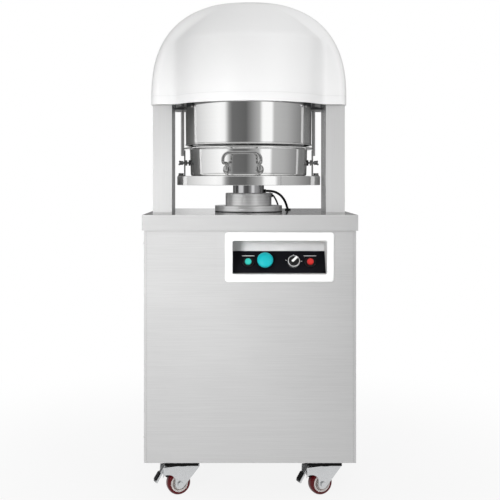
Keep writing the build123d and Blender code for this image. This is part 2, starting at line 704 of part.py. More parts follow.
def head_bridge():
    """Bridge over the bowl: feet on the posts, cheeks and a crosshead that takes the pressing force."""
    half = BRIDGE_DEPTH / 2
    cheek_x = (POST_INNER - 4.0, POST_INNER - 4.0 + BRIDGE_CHEEK)
    foot_z = (POST_TOP, POST_TOP + BRIDGE_FOOT)
    foot = block((cheek_x[0], BRIDGE_FOOT_END), (-half, half), foot_z)
    tab = block((BRIDGE_FOOT_END, HOOD_HALF - HOOD_WALL - SEAT_GAP), (half - HOOD_TAB_DEPTH, half), foot_z)
    cheek = block(cheek_x, (-half, half), (foot_z[1], CROSSHEAD_TOP))
    side = foot + tab + cheek
    head_z = (CROSSHEAD_BOTTOM, CROSSHEAD_TOP)
    arms = block((-cheek_x[1], cheek_x[1]), (-half, half), head_z)
    plate_x, plate_y = CROSSHEAD_HALF
    plate = block((-plate_x, plate_x), (-plate_y, plate_y), head_z)
    holes = bolt_holes(head_bolt_places(), HEAD_BOLT, (foot_z[0] - 1, foot_z[1] + 1))
    holes += bolt_holes(standoff_places(), HEAD_BOLT, (head_z[0] - 1, head_z[1] + 1))
    return side + mirrored(side) + arms + plate - holes - screw_holes()


def hood_arch(inset):
    """Squared arch of five tangent arcs over the hood's straight sides, in X and Z, from left to right."""
    away = HOOD_HALF - HOOD_SHOULDER + HOOD_FLATNESS
    shift = (HOOD_FLATNESS**2 - away**2) / (2 * math.sqrt(2) * away - 2 * HOOD_FLATNESS)
    wide = HOOD_HALF + HOOD_FLATNESS - inset
    tight = HOOD_SHOULDER - math.sqrt(2) * shift - inset
    join = math.degrees(math.atan2(shift, shift + HOOD_FLATNESS))
    right_side = arc_xz((-HOOD_FLATNESS, HOOD_ARCH_Z), wide, 0, join)
    right_shoulder = arc_xz((shift, HOOD_ARCH_Z + shift), tight, join, 90 - join)
    top = arc_xz((0, HOOD_ARCH_Z - HOOD_FLATNESS), wide, 90 - join, 90 + join)
    left_shoulder = arc_xz((-shift, HOOD_ARCH_Z + shift), tight, 90 + join, 180 - join)
    left_side = arc_xz((HOOD_FLATNESS, HOOD_ARCH_Z), wide, 180 - join, 180)
    return [left_side, left_shoulder, top, right_shoulder, right_side]


def arc_xz(centre, radius, start, end):
    """Arc about a centre between two angles in degrees."""
    points = []
    for angle in (start, (start + end) / 2, end):
        x, z = polar(radius, angle)
        points.append((centre[0] + x, centre[1] + z))
    return ThreePointArc(*points)


def hood_outline(inset, bottom):
    """Face of the arch and its straight sides down to a level."""
    half = HOOD_HALF - inset
    return make_face([
        Line((-half, bottom), (-half, HOOD_ARCH_Z)),
        *hood_arch(inset),
        Line((half, HOOD_ARCH_Z), (half, bottom)),
        Line((half, bottom), (-half, bottom)),
    ])


def hood_form(inset):
    """Outer form of the hood, drawn in by an inset on every face but its open underside."""
    bottom = HOOD_RIM - inset
    front = HOOD_FRONT + inset
    back = HOOD_BACK - inset
    vault = slab_xz(hood_outline(inset, bottom), (front, back))
    for end, curve in ((0, HOOD_FRONT_ROUND), (-1, HOOD_BACK_ROUND)):
        edges = vault.faces().sort_by(Axis.Y)[end].edges()
        vault = fillet([edge for edge in edges if edge.center().Z > bottom + 1], curve - inset)
    return vault + hood_bulge(inset)


def bulge_plan(edge, edge_y, tip_y, flare, flare_y):
    """Outline of the hood's bowed front seen from above: a bow, two flanks and the part inside the arch."""
    inside = HOOD_FRONT + HOOD_FRONT_ROUND
    return make_face([
        ThreePointArc((-edge, edge_y), (0, tip_y), (edge, edge_y)),
        Line((edge, edge_y), (flare, flare_y)),
        Line((flare, flare_y), (flare, inside)),
        Line((flare, inside), (-flare, inside)),
        Line((-flare, inside), (-flare, flare_y)),
        Line((-flare, flare_y), (-edge, edge_y)),
    ])


def hood_bulge(inset):
    """Bowed front of the hood: upright up to its corners, then drawn in to a short crest under the arch."""
    bottom = HOOD_RIM - inset
    corner = BULGE_CORNER - inset
    front = HOOD_FRONT + inset
    crest = BULGE_CREST - inset
    foot = bulge_plan(BULGE_EDGE - inset, BULGE_EDGE_Y + inset, BULGE_FRONT + inset,
                      BULGE_FLARE - inset, front)
    head = bulge_plan(crest, front, front - BULGE_CREST_BOW, crest + BULGE_CREST_BOW, front + BULGE_CREST_BOW)
    wall = Pos(0, 0, bottom) * extrude(foot, amount=corner - bottom)
    roof = loft([Pos(0, 0, corner) * foot, Pos(0, 0, HOOD_TOP - inset) * head], ruled=True)
    under_arch = slab_xz(hood_outline(inset + BULGE_CREST_DROP, bottom), (BULGE_FRONT, 0.0))
    return (wall + roof) & under_arch


def hood():
    """Moulded hood over the head, open underneath."""
    return hood_form(0.0) - hood_form(HOOD_WALL) - screw_holes()


def rod_brackets():
    """Plates on the posts' inner faces that hold the guide rods and stop the bowl."""
    arm = block((ROD_BRACKET_X, POST_INNER), ROD_BRACKET_Y, (GUIDE_BRACKET_BOTTOM, POST_TOP))
    arm = fillet(arm.edges().filter_by(Axis.Z).sort_by(Axis.Y)[2:], GUIDE_ROD)
    arm -= rod(GUIDE_ROD + RUNNING_FIT, (GUIDE_BRACKET_BOTTOM - 1, POST_TOP + 1), GUIDE_X, GUIDE_Y)
    return group(arm, mirrored(arm))


def guide_rods():
    """Upright rods that guide the guard bowl."""
    bar = rod(GUIDE_ROD, (GUIDE_BOTTOM, GUIDE_TOP), GUIDE_X, GUIDE_Y)
    bar = chamfer(bar.edges().filter_by(GeomType.CIRCLE), GUIDE_ROD * 0.2)
    return group(bar, mirrored(bar))


def guard_bowl():
    """Floating steel ring above the pan, with a rolled lower edge and a lug for each guide rod."""
    wall = make_face(Polyline(
        (BOWL_FOOT_RADIUS, BOWL_BOTTOM + BOWL_BEAD), (BOWL_RADIUS, BOWL_TOP),
        (BOWL_RADIUS - BOWL_WALL, BOWL_TOP), (BOWL_FOOT_RADIUS - BOWL_WALL, BOWL_BOTTOM + BOWL_BEAD),
        close=True))
    bead = Pos(BOWL_FOOT_RADIUS - BOWL_WALL / 2, BOWL_BOTTOM + BOWL_BEAD) * Circle(BOWL_BEAD)
    bowl = revolve(Plane.XZ * (wall + bead), axis=Axis.Z)
    half = LUG_WIDTH / 2
    z = (LUG_BOTTOM, LUG_BOTTOM + LUG_THICKNESS)
    lug = block((0, GUIDE_CIRCLE + LUG_END), (-half, half), z)
    lug -= rod(BOWL_RADIUS - BOWL_WALL * 0.7, (z[0] - 1, z[1] + 1))
    lug -= rod(GUIDE_ROD + RUNNING_FIT, (z[0] - 1, z[1] + 1), GUIDE_CIRCLE, 0)
    lug = Rot(0, 0, GUIDE_ANGLE) * lug
    return bowl + lug + mirrored(lug)


def spokes(index, width, reach):
    """Radial bars of one knife ring, in plan, with a share of their reach cut off at both ends."""
    count = KNIFE_CELLS[index]
    low = KNIFE_RINGS[index] - reach
    high = KNIFE_RINGS[index + 1] + reach
    bar = Pos((low + high) / 2, 0) * Rectangle(high - low, width)
    return [Rot(0, 0, 360 / count * i) * bar for i in range(count)]


def knife_grid():
    """Blades in two rings and three sets of spokes, which cut the dough into equal pieces."""
    half = KNIFE_SHEET / 2
    plan = Sketch()
    for radius in KNIFE_RINGS[1:-1]:
        plan += Circle(radius + half) - Circle(radius - half)
    for index in range(len(KNIFE_CELLS)):
        plan += spokes(index, KNIFE_SHEET, 0.0)
    return Pos(0, 0, KNIFE_EDGE) * extrude(plan & Circle(KNIFE_RADIUS), amount=KNIFE_HEIGHT)


def stud_places():
    """Place of the stud in the middle of every cell of the knife grid."""
    return [
        polar(radius, 360 / count * (i + 0.5))
        for radius, count in zip(STUD_CIRCLES, KNIFE_CELLS)
        for i in range(count)
    ]


def knife_carrier():
    """Disc over the knives with a hole for every press stud, hung on four standoffs."""
    disc = rod(CARRIER_RADIUS, (CARRIER_BOTTOM, CARRIER_TOP))
    depth = (CARRIER_BOTTOM - 1, CARRIER_TOP + 1)
    disc -= [rod(PRESS_STUD + PRESS_STUD_GAP, depth, x, y) for x, y in stud_places()]
    bore = (CROSSHEAD_BOTTOM - 22.0, CROSSHEAD_BOTTOM + 1)
    length = (CARRIER_TOP, CROSSHEAD_BOTTOM)
    standoffs = [
        rod(STANDOFF_RADIUS, length, x, y) - rod(HEAD_BOLT + BOLT_CLEARANCE, bore, x, y)
        for x, y in standoff_places()
    ]
    return group(disc, *standoffs)


def press_head():
    """Press plate in one segment per cell, each on a stud, all carried by one backplate."""
    gap = KNIFE_SHEET / 2 + PRESS_GAP
    plan = Circle(KNIFE_RADIUS)
    for radius in KNIFE_RINGS[1:-1]:
        plan -= Circle(radius + gap) - Circle(radius - gap)
    for index in range(len(KNIFE_CELLS)):
        plan -= spokes(index, 2 * gap, gap)
    segments = Pos(0, 0, KNIFE_EDGE) * extrude(plan, amount=PRESS_THICKNESS)
    stud_z = (KNIFE_EDGE + PRESS_THICKNESS, BACKPLATE_BOTTOM)
    studs = [rod(PRESS_STUD, stud_z, x, y) for x, y in stud_places()]
    plate = rod(BACKPLATE_RADIUS, (BACKPLATE_BOTTOM, BACKPLATE_BOTTOM + BACKPLATE_THICKNESS))
    return plate + studs + segments


def ram_gland():
    """Flange on the table with the collar that guides the ram."""
    body = turned([
        (RAM_RADIUS + RAM_FIT, GASKET_TOP), (FLANGE_RADIUS - COLLAR_CHAMFER / 2, GASKET_TOP),
        (FLANGE_RADIUS, GASKET_TOP + COLLAR_CHAMFER / 2), (FLANGE_RADIUS, FLANGE_TOP - COLLAR_CHAMFER),
        (FLANGE_RADIUS - COLLAR_CHAMFER, FLANGE_TOP), (COLLAR_RADIUS, FLANGE_TOP),
        (COLLAR_RADIUS, COLLAR_TOP - COLLAR_CHAMFER), (COLLAR_RADIUS - COLLAR_CHAMFER, COLLAR_TOP),
        (RAM_RADIUS + RAM_FIT, COLLAR_TOP),
    ])
    depth = (GASKET_TOP - 1, GASKET_TOP + FLANGE_THICKNESS * 0.8)
    return body - bolt_holes(flange_bolt_places(), FLANGE_BOLT, depth)


def flange_gasket():
    """Seal between the ram flange and the table."""
    z = (TABLE_HEIGHT, GASKET_TOP)
    return ring(FLANGE_RADIUS, BARREL_RADIUS, z) - bolt_holes(flange_bolt_places(), FLANGE_BOLT, z)


def cylinder_barrel():
    """Oil cylinder below the table, closed at the bottom."""
    cap = (BARREL_BOTTOM - BARREL_CAP, BARREL_BOTTOM)
    return ring(BARREL_RADIUS, BARREL_BORE, (BARREL_BOTTOM, GASKET_TOP)) + rod(BARREL_CAP_RADIUS, cap)


def ram():
    """Chromed ram with its piston."""
    piston = rod(PISTON_RADIUS, (RAM_BOTTOM - PISTON_LENGTH, RAM_BOTTOM))
    return rod(RAM_RADIUS, (RAM_BOTTOM, RAM_TOP)) + piston


def bracket_bolt_places():
    """Places of the bolts that hold the pan brackets."""
    return [(-BRACKET_BOLT_X, 0.0), (BRACKET_BOLT_X, 0.0)]


def platform():
    """Round table on the ram, with a skirt and a hub."""
    disc = rod(PLATFORM_RADIUS, (RAM_TOP, PLATFORM_TOP))
    disc += ring(PLATFORM_RADIUS, PLATFORM_RADIUS - PLATFORM_SKIRT, (PLATFORM_BOTTOM, RAM_TOP))
    disc += ring(PLATFORM_HUB, RAM_RADIUS + RAM_FIT, (PLATFORM_BOTTOM, RAM_TOP))
    depth = (PLATFORM_BOTTOM - 1, PLATFORM_TOP + 1)
    return disc - bolt_holes(bracket_bolt_places(), BRACKET_BOLT, depth)


def pan_brackets():
    """Angle brackets beside the pan, each with a nut for its wing screw and a foot bolt."""
    half = BRACKET_WIDTH / 2
    upright = block((BRACKET_X, BRACKET_OUTER), (-half, half), (PLATFORM_TOP, BRACKET_TOP))
    foot_top = PLATFORM_TOP + BRACKET_SHEET
    foot = block((BRACKET_X, BRACKET_X + BRACKET_FOOT), (-half, half), (PLATFORM_TOP, foot_top))
    axis = Plane((BRACKET_X, 0, CLAMP_Z), z_dir=(-1, 0, 0))
    nut = axis * extrude(RegularPolygon(CLAMP_NUT_RADIUS, 6), amount=CLAMP_NUT)
    bore = axis * Cylinder(CLAMP_SCREW + RUNNING_FIT, 4 * CLAMP_NUT)
    hole = rod(BRACKET_BOLT + BOLT_CLEARANCE, (PLATFORM_TOP - 1, foot_top + 1), BRACKET_BOLT_X)
    angle = upright + foot + nut - bore - hole
    bolt = hex_bolt(BRACKET_BOLT, BRACKET_SHEET + PLATFORM_PLATE)
    bolt = Pos(BRACKET_BOLT_X, 0, foot_top) * bolt
    return group(angle, bolt, mirrored(angle), mirrored(bolt))


def dough_pan():
    """Round pan with a flat flanged rim."""
    rim_low = PAN_TOP - PAN_RIM
    inner_foot = PAN_FOOT_RADIUS - PAN_WALL
    chamfer = PAN_FOOT_CHAMFER
    return turned([
        (0, PAN_BOTTOM), (PAN_FOOT_RADIUS - chamfer, PAN_BOTTOM), (PAN_FOOT_RADIUS, PAN_BOTTOM + chamfer),
        (PAN_RADIUS, rim_low), (PAN_RIM_RADIUS - 1, rim_low), (PAN_RIM_RADIUS, rim_low + 1),
        (PAN_RIM_RADIUS, PAN_TOP - 1), (PAN_RIM_RADIUS - 1, PAN_TOP), (PAN_RADIUS - PAN_WALL, PAN_TOP),
        (inner_foot, PAN_BOTTOM + PAN_FLOOR + chamfer), (inner_foot - chamfer, PAN_BOTTOM + PAN_FLOOR),
        (0, PAN_BOTTOM + PAN_FLOOR),
    ])


def pan_wall(z):
    """Outer radius of the pan at a height."""
    return PAN_FOOT_RADIUS + PAN_SLOPE * (z - PAN_BOTTOM)


def pan_handle():
    """Bent rod handle on two oval feet, turned a little to the operator's left."""
    hook_z = PAN_BOTTOM + HANDLE_HOOK
    bar_z = PAN_BOTTOM + HANDLE_BAR
    foot_y = -math.sqrt((pan_wall(hook_z) + HANDLE_ROD + HANDLE_GAP)**2 - HANDLE_FOOT_X**2)
    bar_y = foot_y - HANDLE_REACH
    half = [
        (HANDLE_FOOT_X, foot_y, PAN_BOTTOM + HANDLE_PAD_CENTRE),
        (HANDLE_FOOT_X, foot_y, hook_z),
        (HANDLE_HALF, bar_y, hook_z),
        (HANDLE_HALF, bar_y, bar_z),
    ]
    points = half + [(-x, y, z) for x, y, z in reversed(half)]
    bends = [HANDLE_HOOK_BEND, HANDLE_HOOK_BEND, HANDLE_BEND]
    path = FilletPolyline(*points, radius=bends + bends[::-1])
    bar = sweep(Plane(path @ 0, z_dir=path % 0) * Circle(HANDLE_ROD), path=path)
    width, height, thickness = HANDLE_PAD
    oval = extrude(Ellipse(width / 2, height / 2), amount=2 * HANDLE_REACH)
    shell = turned([
        (PAN_FOOT_RADIUS, PAN_BOTTOM), (PAN_FOOT_RADIUS + thickness, PAN_BOTTOM),
        (PAN_RADIUS + thickness, PAN_TOP), (PAN_RADIUS, PAN_TOP),
    ])
    for side in (-1, 1):
        place = Plane((side * HANDLE_FOOT_X, foot_y + HANDLE_REACH, PAN_BOTTOM + HANDLE_PAD_CENTRE),
                      x_dir=(1, 0, 0), z_dir=(0, -1, 0))
        bar += (place * oval) & shell
    return Rot(0, 0, HANDLE_TURN) * bar


def clamp_axis(x):
    """Plane on the clamp axis at a distance from the ram, looking outwards on the +X side."""
    return Plane((x, 0, CLAMP_Z), x_dir=(0, 1, 0), z_dir=(1, 0, 0))


def right_screw_pad():
    """Rubber pad at the tip of the wing screw."""
    pad = Pos(0, 0, CLAMP_PAD_THICKNESS / 2) * Cylinder(CLAMP_PAD, CLAMP_PAD_THICKNESS)
    socket = Pos(0, 0, CLAMP_PAD_THICKNESS) * Cylinder(CLAMP_NECK + RUNNING_FIT, 2 * CLAMP_SOCKET)
    return clamp_axis(CLAMP_PAD_X) * (pad - socket)


def right_wing_screw():
    """Wing screw through the bracket's nut."""
    tip = CLAMP_PAD_THICKNESS - CLAMP_SOCKET + TURNING_GAP
    thread = BRACKET_X - CLAMP_NUT - CLAMP_PAD_X
    hub = WING_START - CLAMP_PAD_X
    end = WING_END - CLAMP_PAD_X
    hub_end = hub + WING_HUB_LENGTH
    screw = rod(CLAMP_NECK, (tip, thread)) + rod(CLAMP_SCREW, (thread, hub)) + rod(WING_HUB, (hub, hub_end))
    wing = make_face(Polyline(
        (0, hub + 1.5), (WING_SPAN * 0.55, hub + 3.0), (WING_SPAN, end - 3.0), (WING_SPAN * 0.8, end),
        (WING_SPAN * 0.35, hub_end), (0, hub_end - 1.0), close=True))
    blade = slab_xz(wing, (-WING_SHEET / 2, WING_SHEET / 2))
    screw += [blade, Rot(0, 0, 180) * blade]
    return clamp_axis(CLAMP_PAD_X) * Rot(0, 0, WING_TILT) * screw


def control_bezel():
    """Moulded frame round the control recess."""
    y = (FRONT_Y - BEZEL_PROUD, FRONT_Y)
    frame = block(BEZEL_X, y, BEZEL_Z)
    frame = fillet(frame.edges().filter_by(Axis.Y), BEZEL_CORNER)
    opening = block(OPENING_X, (y[0] - 1, y[1] + 1), OPENING_Z)
    frame -= fillet(opening.edges().filter_by(Axis.Y), OPENING_CORNER)
    return fillet(frame.faces().sort_by(Axis.Y)[0].outer_wire().edges(), BEZEL_PROUD * 0.5)


def control_recess():
    """Folded box behind the bezel, open to the front."""
    x, z = recess_limits(SHEET)
    hollow = block(OPENING_X, (FRONT_Y - 1, RECESS_BACK), OPENING_Z)
    return block(x, (FRONT_Y, RECESS_BACK + SHEET), z) - hollow


def plate_plane(x, up):
    """Plane on the tilted control plate's face, with its own Z axis out of the plate."""
    place = (x, PLATE_LOW[0] + PLATE_UP[1] * up, PLATE_LOW[1] + PLATE_UP[2] * up)
    return Plane(place, x_dir=(1, 0, 0), z_dir=PLATE_NORMAL)


def control_plate():
    """Tilted plate that carries the switches."""
    middle = sum(OPENING_X) / 2
    width = OPENING_X[1] - OPENING_X[0] - 2 * PLATE_SIDE_GAP
    rise = PLATE_THICKNESS * math.tan(PLATE_ANGLE)
    face = Pos(0, PLATE_LENGTH / 2 + rise / 2, 0) * Rectangle(width, PLATE_LENGTH - rise)
    plate = plate_plane(middle, 0.0) * extrude(face, amount=-PLATE_THICKNESS)
    holes = [
        plate_plane(x, CONTROL_UP) * Cylinder(SWITCH_BARREL + RUNNING_FIT, 4 * PLATE_THICKNESS)
        for x in (GREEN_X, START_X, SELECTOR_X, RED_X)
    ]
    return plate - holes


def switch_body(bore):
    """Switch barrel behind the plate and its collar in front, bored for a button."""
    body = rod(SWITCH_BARREL, (-SWITCH_DEPTH, 0)) + rod(SWITCH_COLLAR, (0, SWITCH_COLLAR_HEIGHT))
    return body - rod(bore, (-SWITCH_BORE_DEPTH, SWITCH_COLLAR_HEIGHT + 1))


def switch_bodies():
    """Bodies of the three push buttons and of the selector."""
    small = switch_body(BUTTON_RADIUS + BUTTON_GAP)
    large = switch_body(START_STEM + BUTTON_GAP)
    turn = rod(SWITCH_BARREL, (-SWITCH_DEPTH, 0))
    return group(
        plate_plane(GREEN_X, CONTROL_UP) * small,
        plate_plane(START_X, CONTROL_UP) * large,
        plate_plane(RED_X, CONTROL_UP) * small,
        plate_plane(SELECTOR_X, CONTROL_UP) * turn,
    )


def selector_ring():
    """Chromed ring round the selector knob."""
    bore = SELECTOR_KNOB + BUTTON_GAP
    outline = [(bore, 0), (SELECTOR_RING, 0), (SELECTOR_RING, SELECTOR_RING_HEIGHT - 1),
               (SELECTOR_RING - 1, SELECTOR_RING_HEIGHT), (bore, SELECTOR_RING_HEIGHT)]
    return plate_plane(SELECTOR_X, CONTROL_UP) * turned(outline)


def selector_knob():
    """Selector knob with a lever that points to its setting."""
    width, length, height = SELECTOR_LEVER
    top = SELECTOR_RING_HEIGHT - 2.0
    knob = rod(SELECTOR_KNOB, (SEAT_GAP, top))
    knob += block((-width / 2, width / 2), (-length / 2, length / 2), (top, top + height))
    return plate_plane(SELECTOR_X, CONTROL_UP) * Rot(0, 0, -SELECTOR_POINTS) * knob


def push_button(x):
    """Small flush push button."""
    low = -SWITCH_BORE_DEPTH + BUTTON_TRAVEL + SEAT_GAP
    cap = turned([(0, low), (BUTTON_RADIUS, low), (BUTTON_RADIUS, BUTTON_TOP - 1.0),
                  (BUTTON_RADIUS - 1.0, BUTTON_TOP), (0, BUTTON_TOP)])
    return plate_plane(x, CONTROL_UP) * cap


def start_button():
    """Large mushroom push button."""
    low = -SWITCH_BORE_DEPTH + START_TRAVEL + SEAT_GAP
    shoulder = START_TOP - 8.0
    sphere = (START_RADIUS**2 + 8.0**2) / (2 * 8.0)
    half = math.asin(START_RADIUS / sphere) / 2
    middle = (sphere * math.sin(half), START_TOP - sphere + sphere * math.cos(half))
    sides = Polyline((0, START_TOP), (0, low), (START_STEM, low), (START_STEM, START_UNDERSIDE),
                     (START_RADIUS, START_UNDERSIDE), (START_RADIUS, shoulder))
    dome = ThreePointArc((START_RADIUS, shoulder), middle, (0, START_TOP))
    head = revolve(Plane.XZ * make_face([*sides.edges(), dome]), axis=Axis.Z)
    return plate_plane(START_X, CONTROL_UP) * head


def gland(route, radius):
    """Short sleeve on a sensor whose flat end meets the cable squarely."""
    start = Vector(*route[0])
    along = (Vector(*route[1]) - start).normalized()
    return Plane(start, z_dir=along) * rod(radius, (-SENSOR_GLAND, 0))


def ram_sensors():
    """Position sensors: one on top of the collar and one on its side."""
    length, width, height = SENSOR_BLOCK
    top = Pos(SENSOR_CIRCLE, 0, COLLAR_TOP + height / 2) * Box(length, width, height)
    top = Rot(0, 0, SENSOR_ANGLE) * top + gland(THICK_ROUTE, THICK_CABLE / 2 + 1.0)
    depth, width, height = SIDE_SENSOR_BLOCK
    side = Pos(COLLAR_RADIUS + depth / 2 - 1.0, 0, SIDE_SENSOR_Z) * Box(depth + 2.0, width, height)
    side = Rot(0, 0, SIDE_SENSOR_ANGLE) * side + gland(THIN_ROUTE, THIN_CABLE / 2 + 1.0)
    return group(top, side - rod(COLLAR_RADIUS + RUNNING_FIT, (TABLE_HEIGHT, COLLAR_TOP + 20.0)))


def route_radii(route):
    """Largest even bend at each corner of a cable's route."""
    points = [Vector(*point) for point in route]
    radii = []
    for before, corner, after in zip(points, points[1:], points[2:]):
        first = corner - before
        second = after - corner
        turn = math.radians(first.get_angle(second))
        radii.append(BEND_SHARE * min(first.length, second.length) / math.tan(turn / 2))
    return radii


def cable(name, route, diameter):
    """Round cable along straight runs joined by tangent arcs."""
    radii = route_radii(route)
    path = FilletPolyline(*route, radius=radii)
    tube = sweep(Plane(path @ 0, z_dir=path % 0) * Circle(diameter / 2), path=path)
    expected = math.pi * diameter**2 / 4 * path.length
    print(name, "length", round(path.length, 1), "radii", [round(radius) for radius in radii],
          "volume ratio", round(tube.volume / expected, 4))
    return tube


def cable_grommets():
    """Rubber grommets where the cables go through the table."""
    pieces = []
    for route, diameter in ((THICK_ROUTE, THICK_CABLE), (THIN_ROUTE, THIN_CABLE)):
        x, y, z = route[-1]
        grommet = rod(GROMMET_RADIUS, (TABLE_HEIGHT, TABLE_HEIGHT + GROMMET_HEIGHT), x, y)
        grommet += rod(GROMMET_NECK - RUNNING_FIT, (BED_TOP - 3.0, TABLE_HEIGHT), x, y)
        end = Vector(x, y, z)
        bore = Cylinder(diameter / 2 + RUNNING_FIT, 8 * GROMMET_HEIGHT)
        pieces.append(grommet - Plane(end, z_dir=end - Vector(*route[-2])) * bore)
    return group(*pieces)


def mains_gland():
    """Bored gland for the supply lead in the rear panel."""
    back = Plane((INLET_X, REAR_Y, INLET_Z), z_dir=(0, 1, 0))
    body = extrude(RegularPolygon(INLET_NUT, 6), amount=INLET_REACH)
    body += rod(INLET_NECK - BOLT_CLEARANCE, (-3 * SHEET, 0))
    body += Pos(0, 0, -SHEET) * extrude(RegularPolygon(INLET_NUT, 6), amount=-4 * SHEET)
    return back * (body - rod(INLET_BORE, (-10 * SHEET, INLET_REACH + 1)))


def oil_tank():
    """Oil tank on the castor bearers, with its lid."""
    z = (RAIL_TOP, RAIL_TOP + TANK_HEIGHT)
    wall = TANK_WALL
    tank = block(TANK_X, TANK_Y, z)
    inner_x = (TANK_X[0] + wall, TANK_X[1] - wall)
    inner_y = (TANK_Y[0] + wall, TANK_Y[1] - wall)
    tank -= block(inner_x, inner_y, (z[0] + wall, z[1] + 1))
    lid = block(TANK_X, TANK_Y, (z[1], z[1] + TANK_LID))
    return group(tank, lid)


def pump_motor():
    """Pump motor standing on the tank lid, with cooling ribs."""
    low = RAIL_TOP + TANK_HEIGHT + TANK_LID
    body = rod(MOTOR_FLANGE, (low, low + MOTOR_FLANGE_THICKNESS))
    body += rod(MOTOR_RADIUS - 6.0, (low + MOTOR_FLANGE_THICKNESS, low + MOTOR_HEIGHT))
    rib = block((0, MOTOR_RADIUS), (-1.5, 1.5), (low + MOTOR_FLANGE_THICKNESS, low + MOTOR_HEIGHT - 30.0))
    body += [Rot(0, 0, 360 / MOTOR_FINS * i) * rib for i in range(MOTOR_FINS)]
    body += rod(MOTOR_RADIUS, (low + MOTOR_HEIGHT - 30.0, low + MOTOR_HEIGHT))
    return Pos(*MOTOR_AT, 0) * body


def oil_fittings():
    """Valve block on the tank lid and the pipe from it to the cylinder's cap."""
    low = RAIL_TOP + TANK_HEIGHT + TANK_LID
    x, y = VALVE_AT
    width, depth, height = VALVE_SIZE
    valve = block((x - width / 2, x + width / 2), (y - depth / 2, y + depth / 2), (low, low + height))
    cap_low = BARREL_BOTTOM - BARREL_CAP
    rise = (low + height + cap_low) / 2
    path = FilletPolyline((x, y, low + height), (x, y, rise), (0, 0, rise), (0, 0, cap_low), radius=PIPE_BEND)
    pipe = sweep(Plane(path @ 0, z_dir=path % 0) * Circle(PIPE_RADIUS), path=path)
    return group(valve, pipe)


def electrical_box():
    """Closed box for the contactors, on the rear bearer."""
    return block(ELECTRIC_X, ELECTRIC_Y, (RAIL_TOP, RAIL_TOP + ELECTRIC_HEIGHT))


def castor_places():
    """Name and place of each castor."""
    return {
        "front_left": (CASTOR_SHIFT - CASTOR_X, CASTOR_Y[0]),
        "front_right": (CASTOR_SHIFT + CASTOR_X, CASTOR_Y[0]),
        "rear_left": (CASTOR_SHIFT - CASTOR_X, CASTOR_Y[1]),
        "rear_right": (CASTOR_SHIFT + CASTOR_X, CASTOR_Y[1]),
    }


def castor_plates():
    """Top plates of the castors, each with its race and kingpin."""
    length, width, thickness = CASTOR_PLATE
    low = CASTOR_HEIGHT - thickness
    crown_top = low - 3.0 - TURNING_GAP
    pin_low = crown_top - FORK_CROWN_DEPTH - TURNING_GAP
    plate = block((-length / 2, length / 2), (-width / 2, width / 2), (low, CASTOR_HEIGHT))
    plate += rod(CASTOR_RACE, (low - 3.0, low)) + rod(KINGPIN_RADIUS, (pin_low, low))
    plate += rod(KINGPIN_RADIUS * 1.6, (pin_low - 3.0, pin_low))
    return group(*[Pos(x, y, 0) * plate for x, y in castor_places().values()])


def castor_fork():
    """Swivel fork with its axle bolt, trailing along +X."""
    crown_top = CASTOR_HEIGHT - CASTOR_PLATE[2] - 3.0 - TURNING_GAP
    crown_low = crown_top - FORK_CROWN_DEPTH
    inner = WHEEL_WIDTH / 2 + FORK_GAP
    outer = inner + FORK_SHEET
    tail = PEDAL_PIVOT_X + FORK_TAIL
    crown_end = PEDAL_PIVOT_X - 2 * PEDAL_PIN - 3.0
    crown = block((-FORK_NOSE, crown_end), (-outer, outer), (crown_low, crown_top))
    crown += rod(FORK_CROWN, (crown_low, crown_top))
    crown -= rod(KINGPIN_RADIUS + RUNNING_FIT, (crown_low - 1, crown_top + 1))
    eye = FORK_EYE
    lip = [(tail + x, WHEEL_RADIUS + z) for x, z in FORK_LIP]
    eye_back = (CASTOR_TRAIL + eye, WHEEL_RADIUS)
    throat = (CASTOR_TRAIL + eye, WHEEL_RADIUS + FORK_THROAT)
    run = (-FORK_NOSE - CASTOR_TRAIL, crown_low - WHEEL_RADIUS)
    turn = math.atan2(run[1], run[0]) + math.acos(eye / math.hypot(*run))
    eye_front = (CASTOR_TRAIL + eye * math.cos(turn), WHEEL_RADIUS + eye * math.sin(turn))
    leg = make_face([
        Polyline(throat, eye_back, eye_front, (-FORK_NOSE, crown_low), (-FORK_NOSE, crown_top)),
        Polyline((-FORK_NOSE, crown_top), (tail, crown_top), lip[0]),
        Spline(*lip, throat),
    ])
    leg += Pos(CASTOR_TRAIL, WHEEL_RADIUS) * Circle(eye)
    legs = slab_xz(leg, (-outer, -inner)) + slab_xz(leg, (inner, outer))
    across = Plane((CASTOR_TRAIL, 0, WHEEL_RADIUS), z_dir=(0, -1, 0))
    pivot = Plane((PEDAL_PIVOT_X, 0, PEDAL_PIVOT_Z), z_dir=(0, -1, 0))
    fork = crown + legs - across * Cylinder(AXLE_RADIUS + RUNNING_FIT, 4 * outer)
    fork -= pivot * Cylinder(PEDAL_PIN + RUNNING_FIT, 4 * outer)
    bolt = Pos(0, 0, outer) * hex_bolt(AXLE_RADIUS, 2 * outer)
    nut = Pos(0, 0, -outer) * extrude(RegularPolygon(AXLE_RADIUS * 1.8, 6), amount=-AXLE_RADIUS * 1.3)
    return group(fork, across * (bolt + nut))


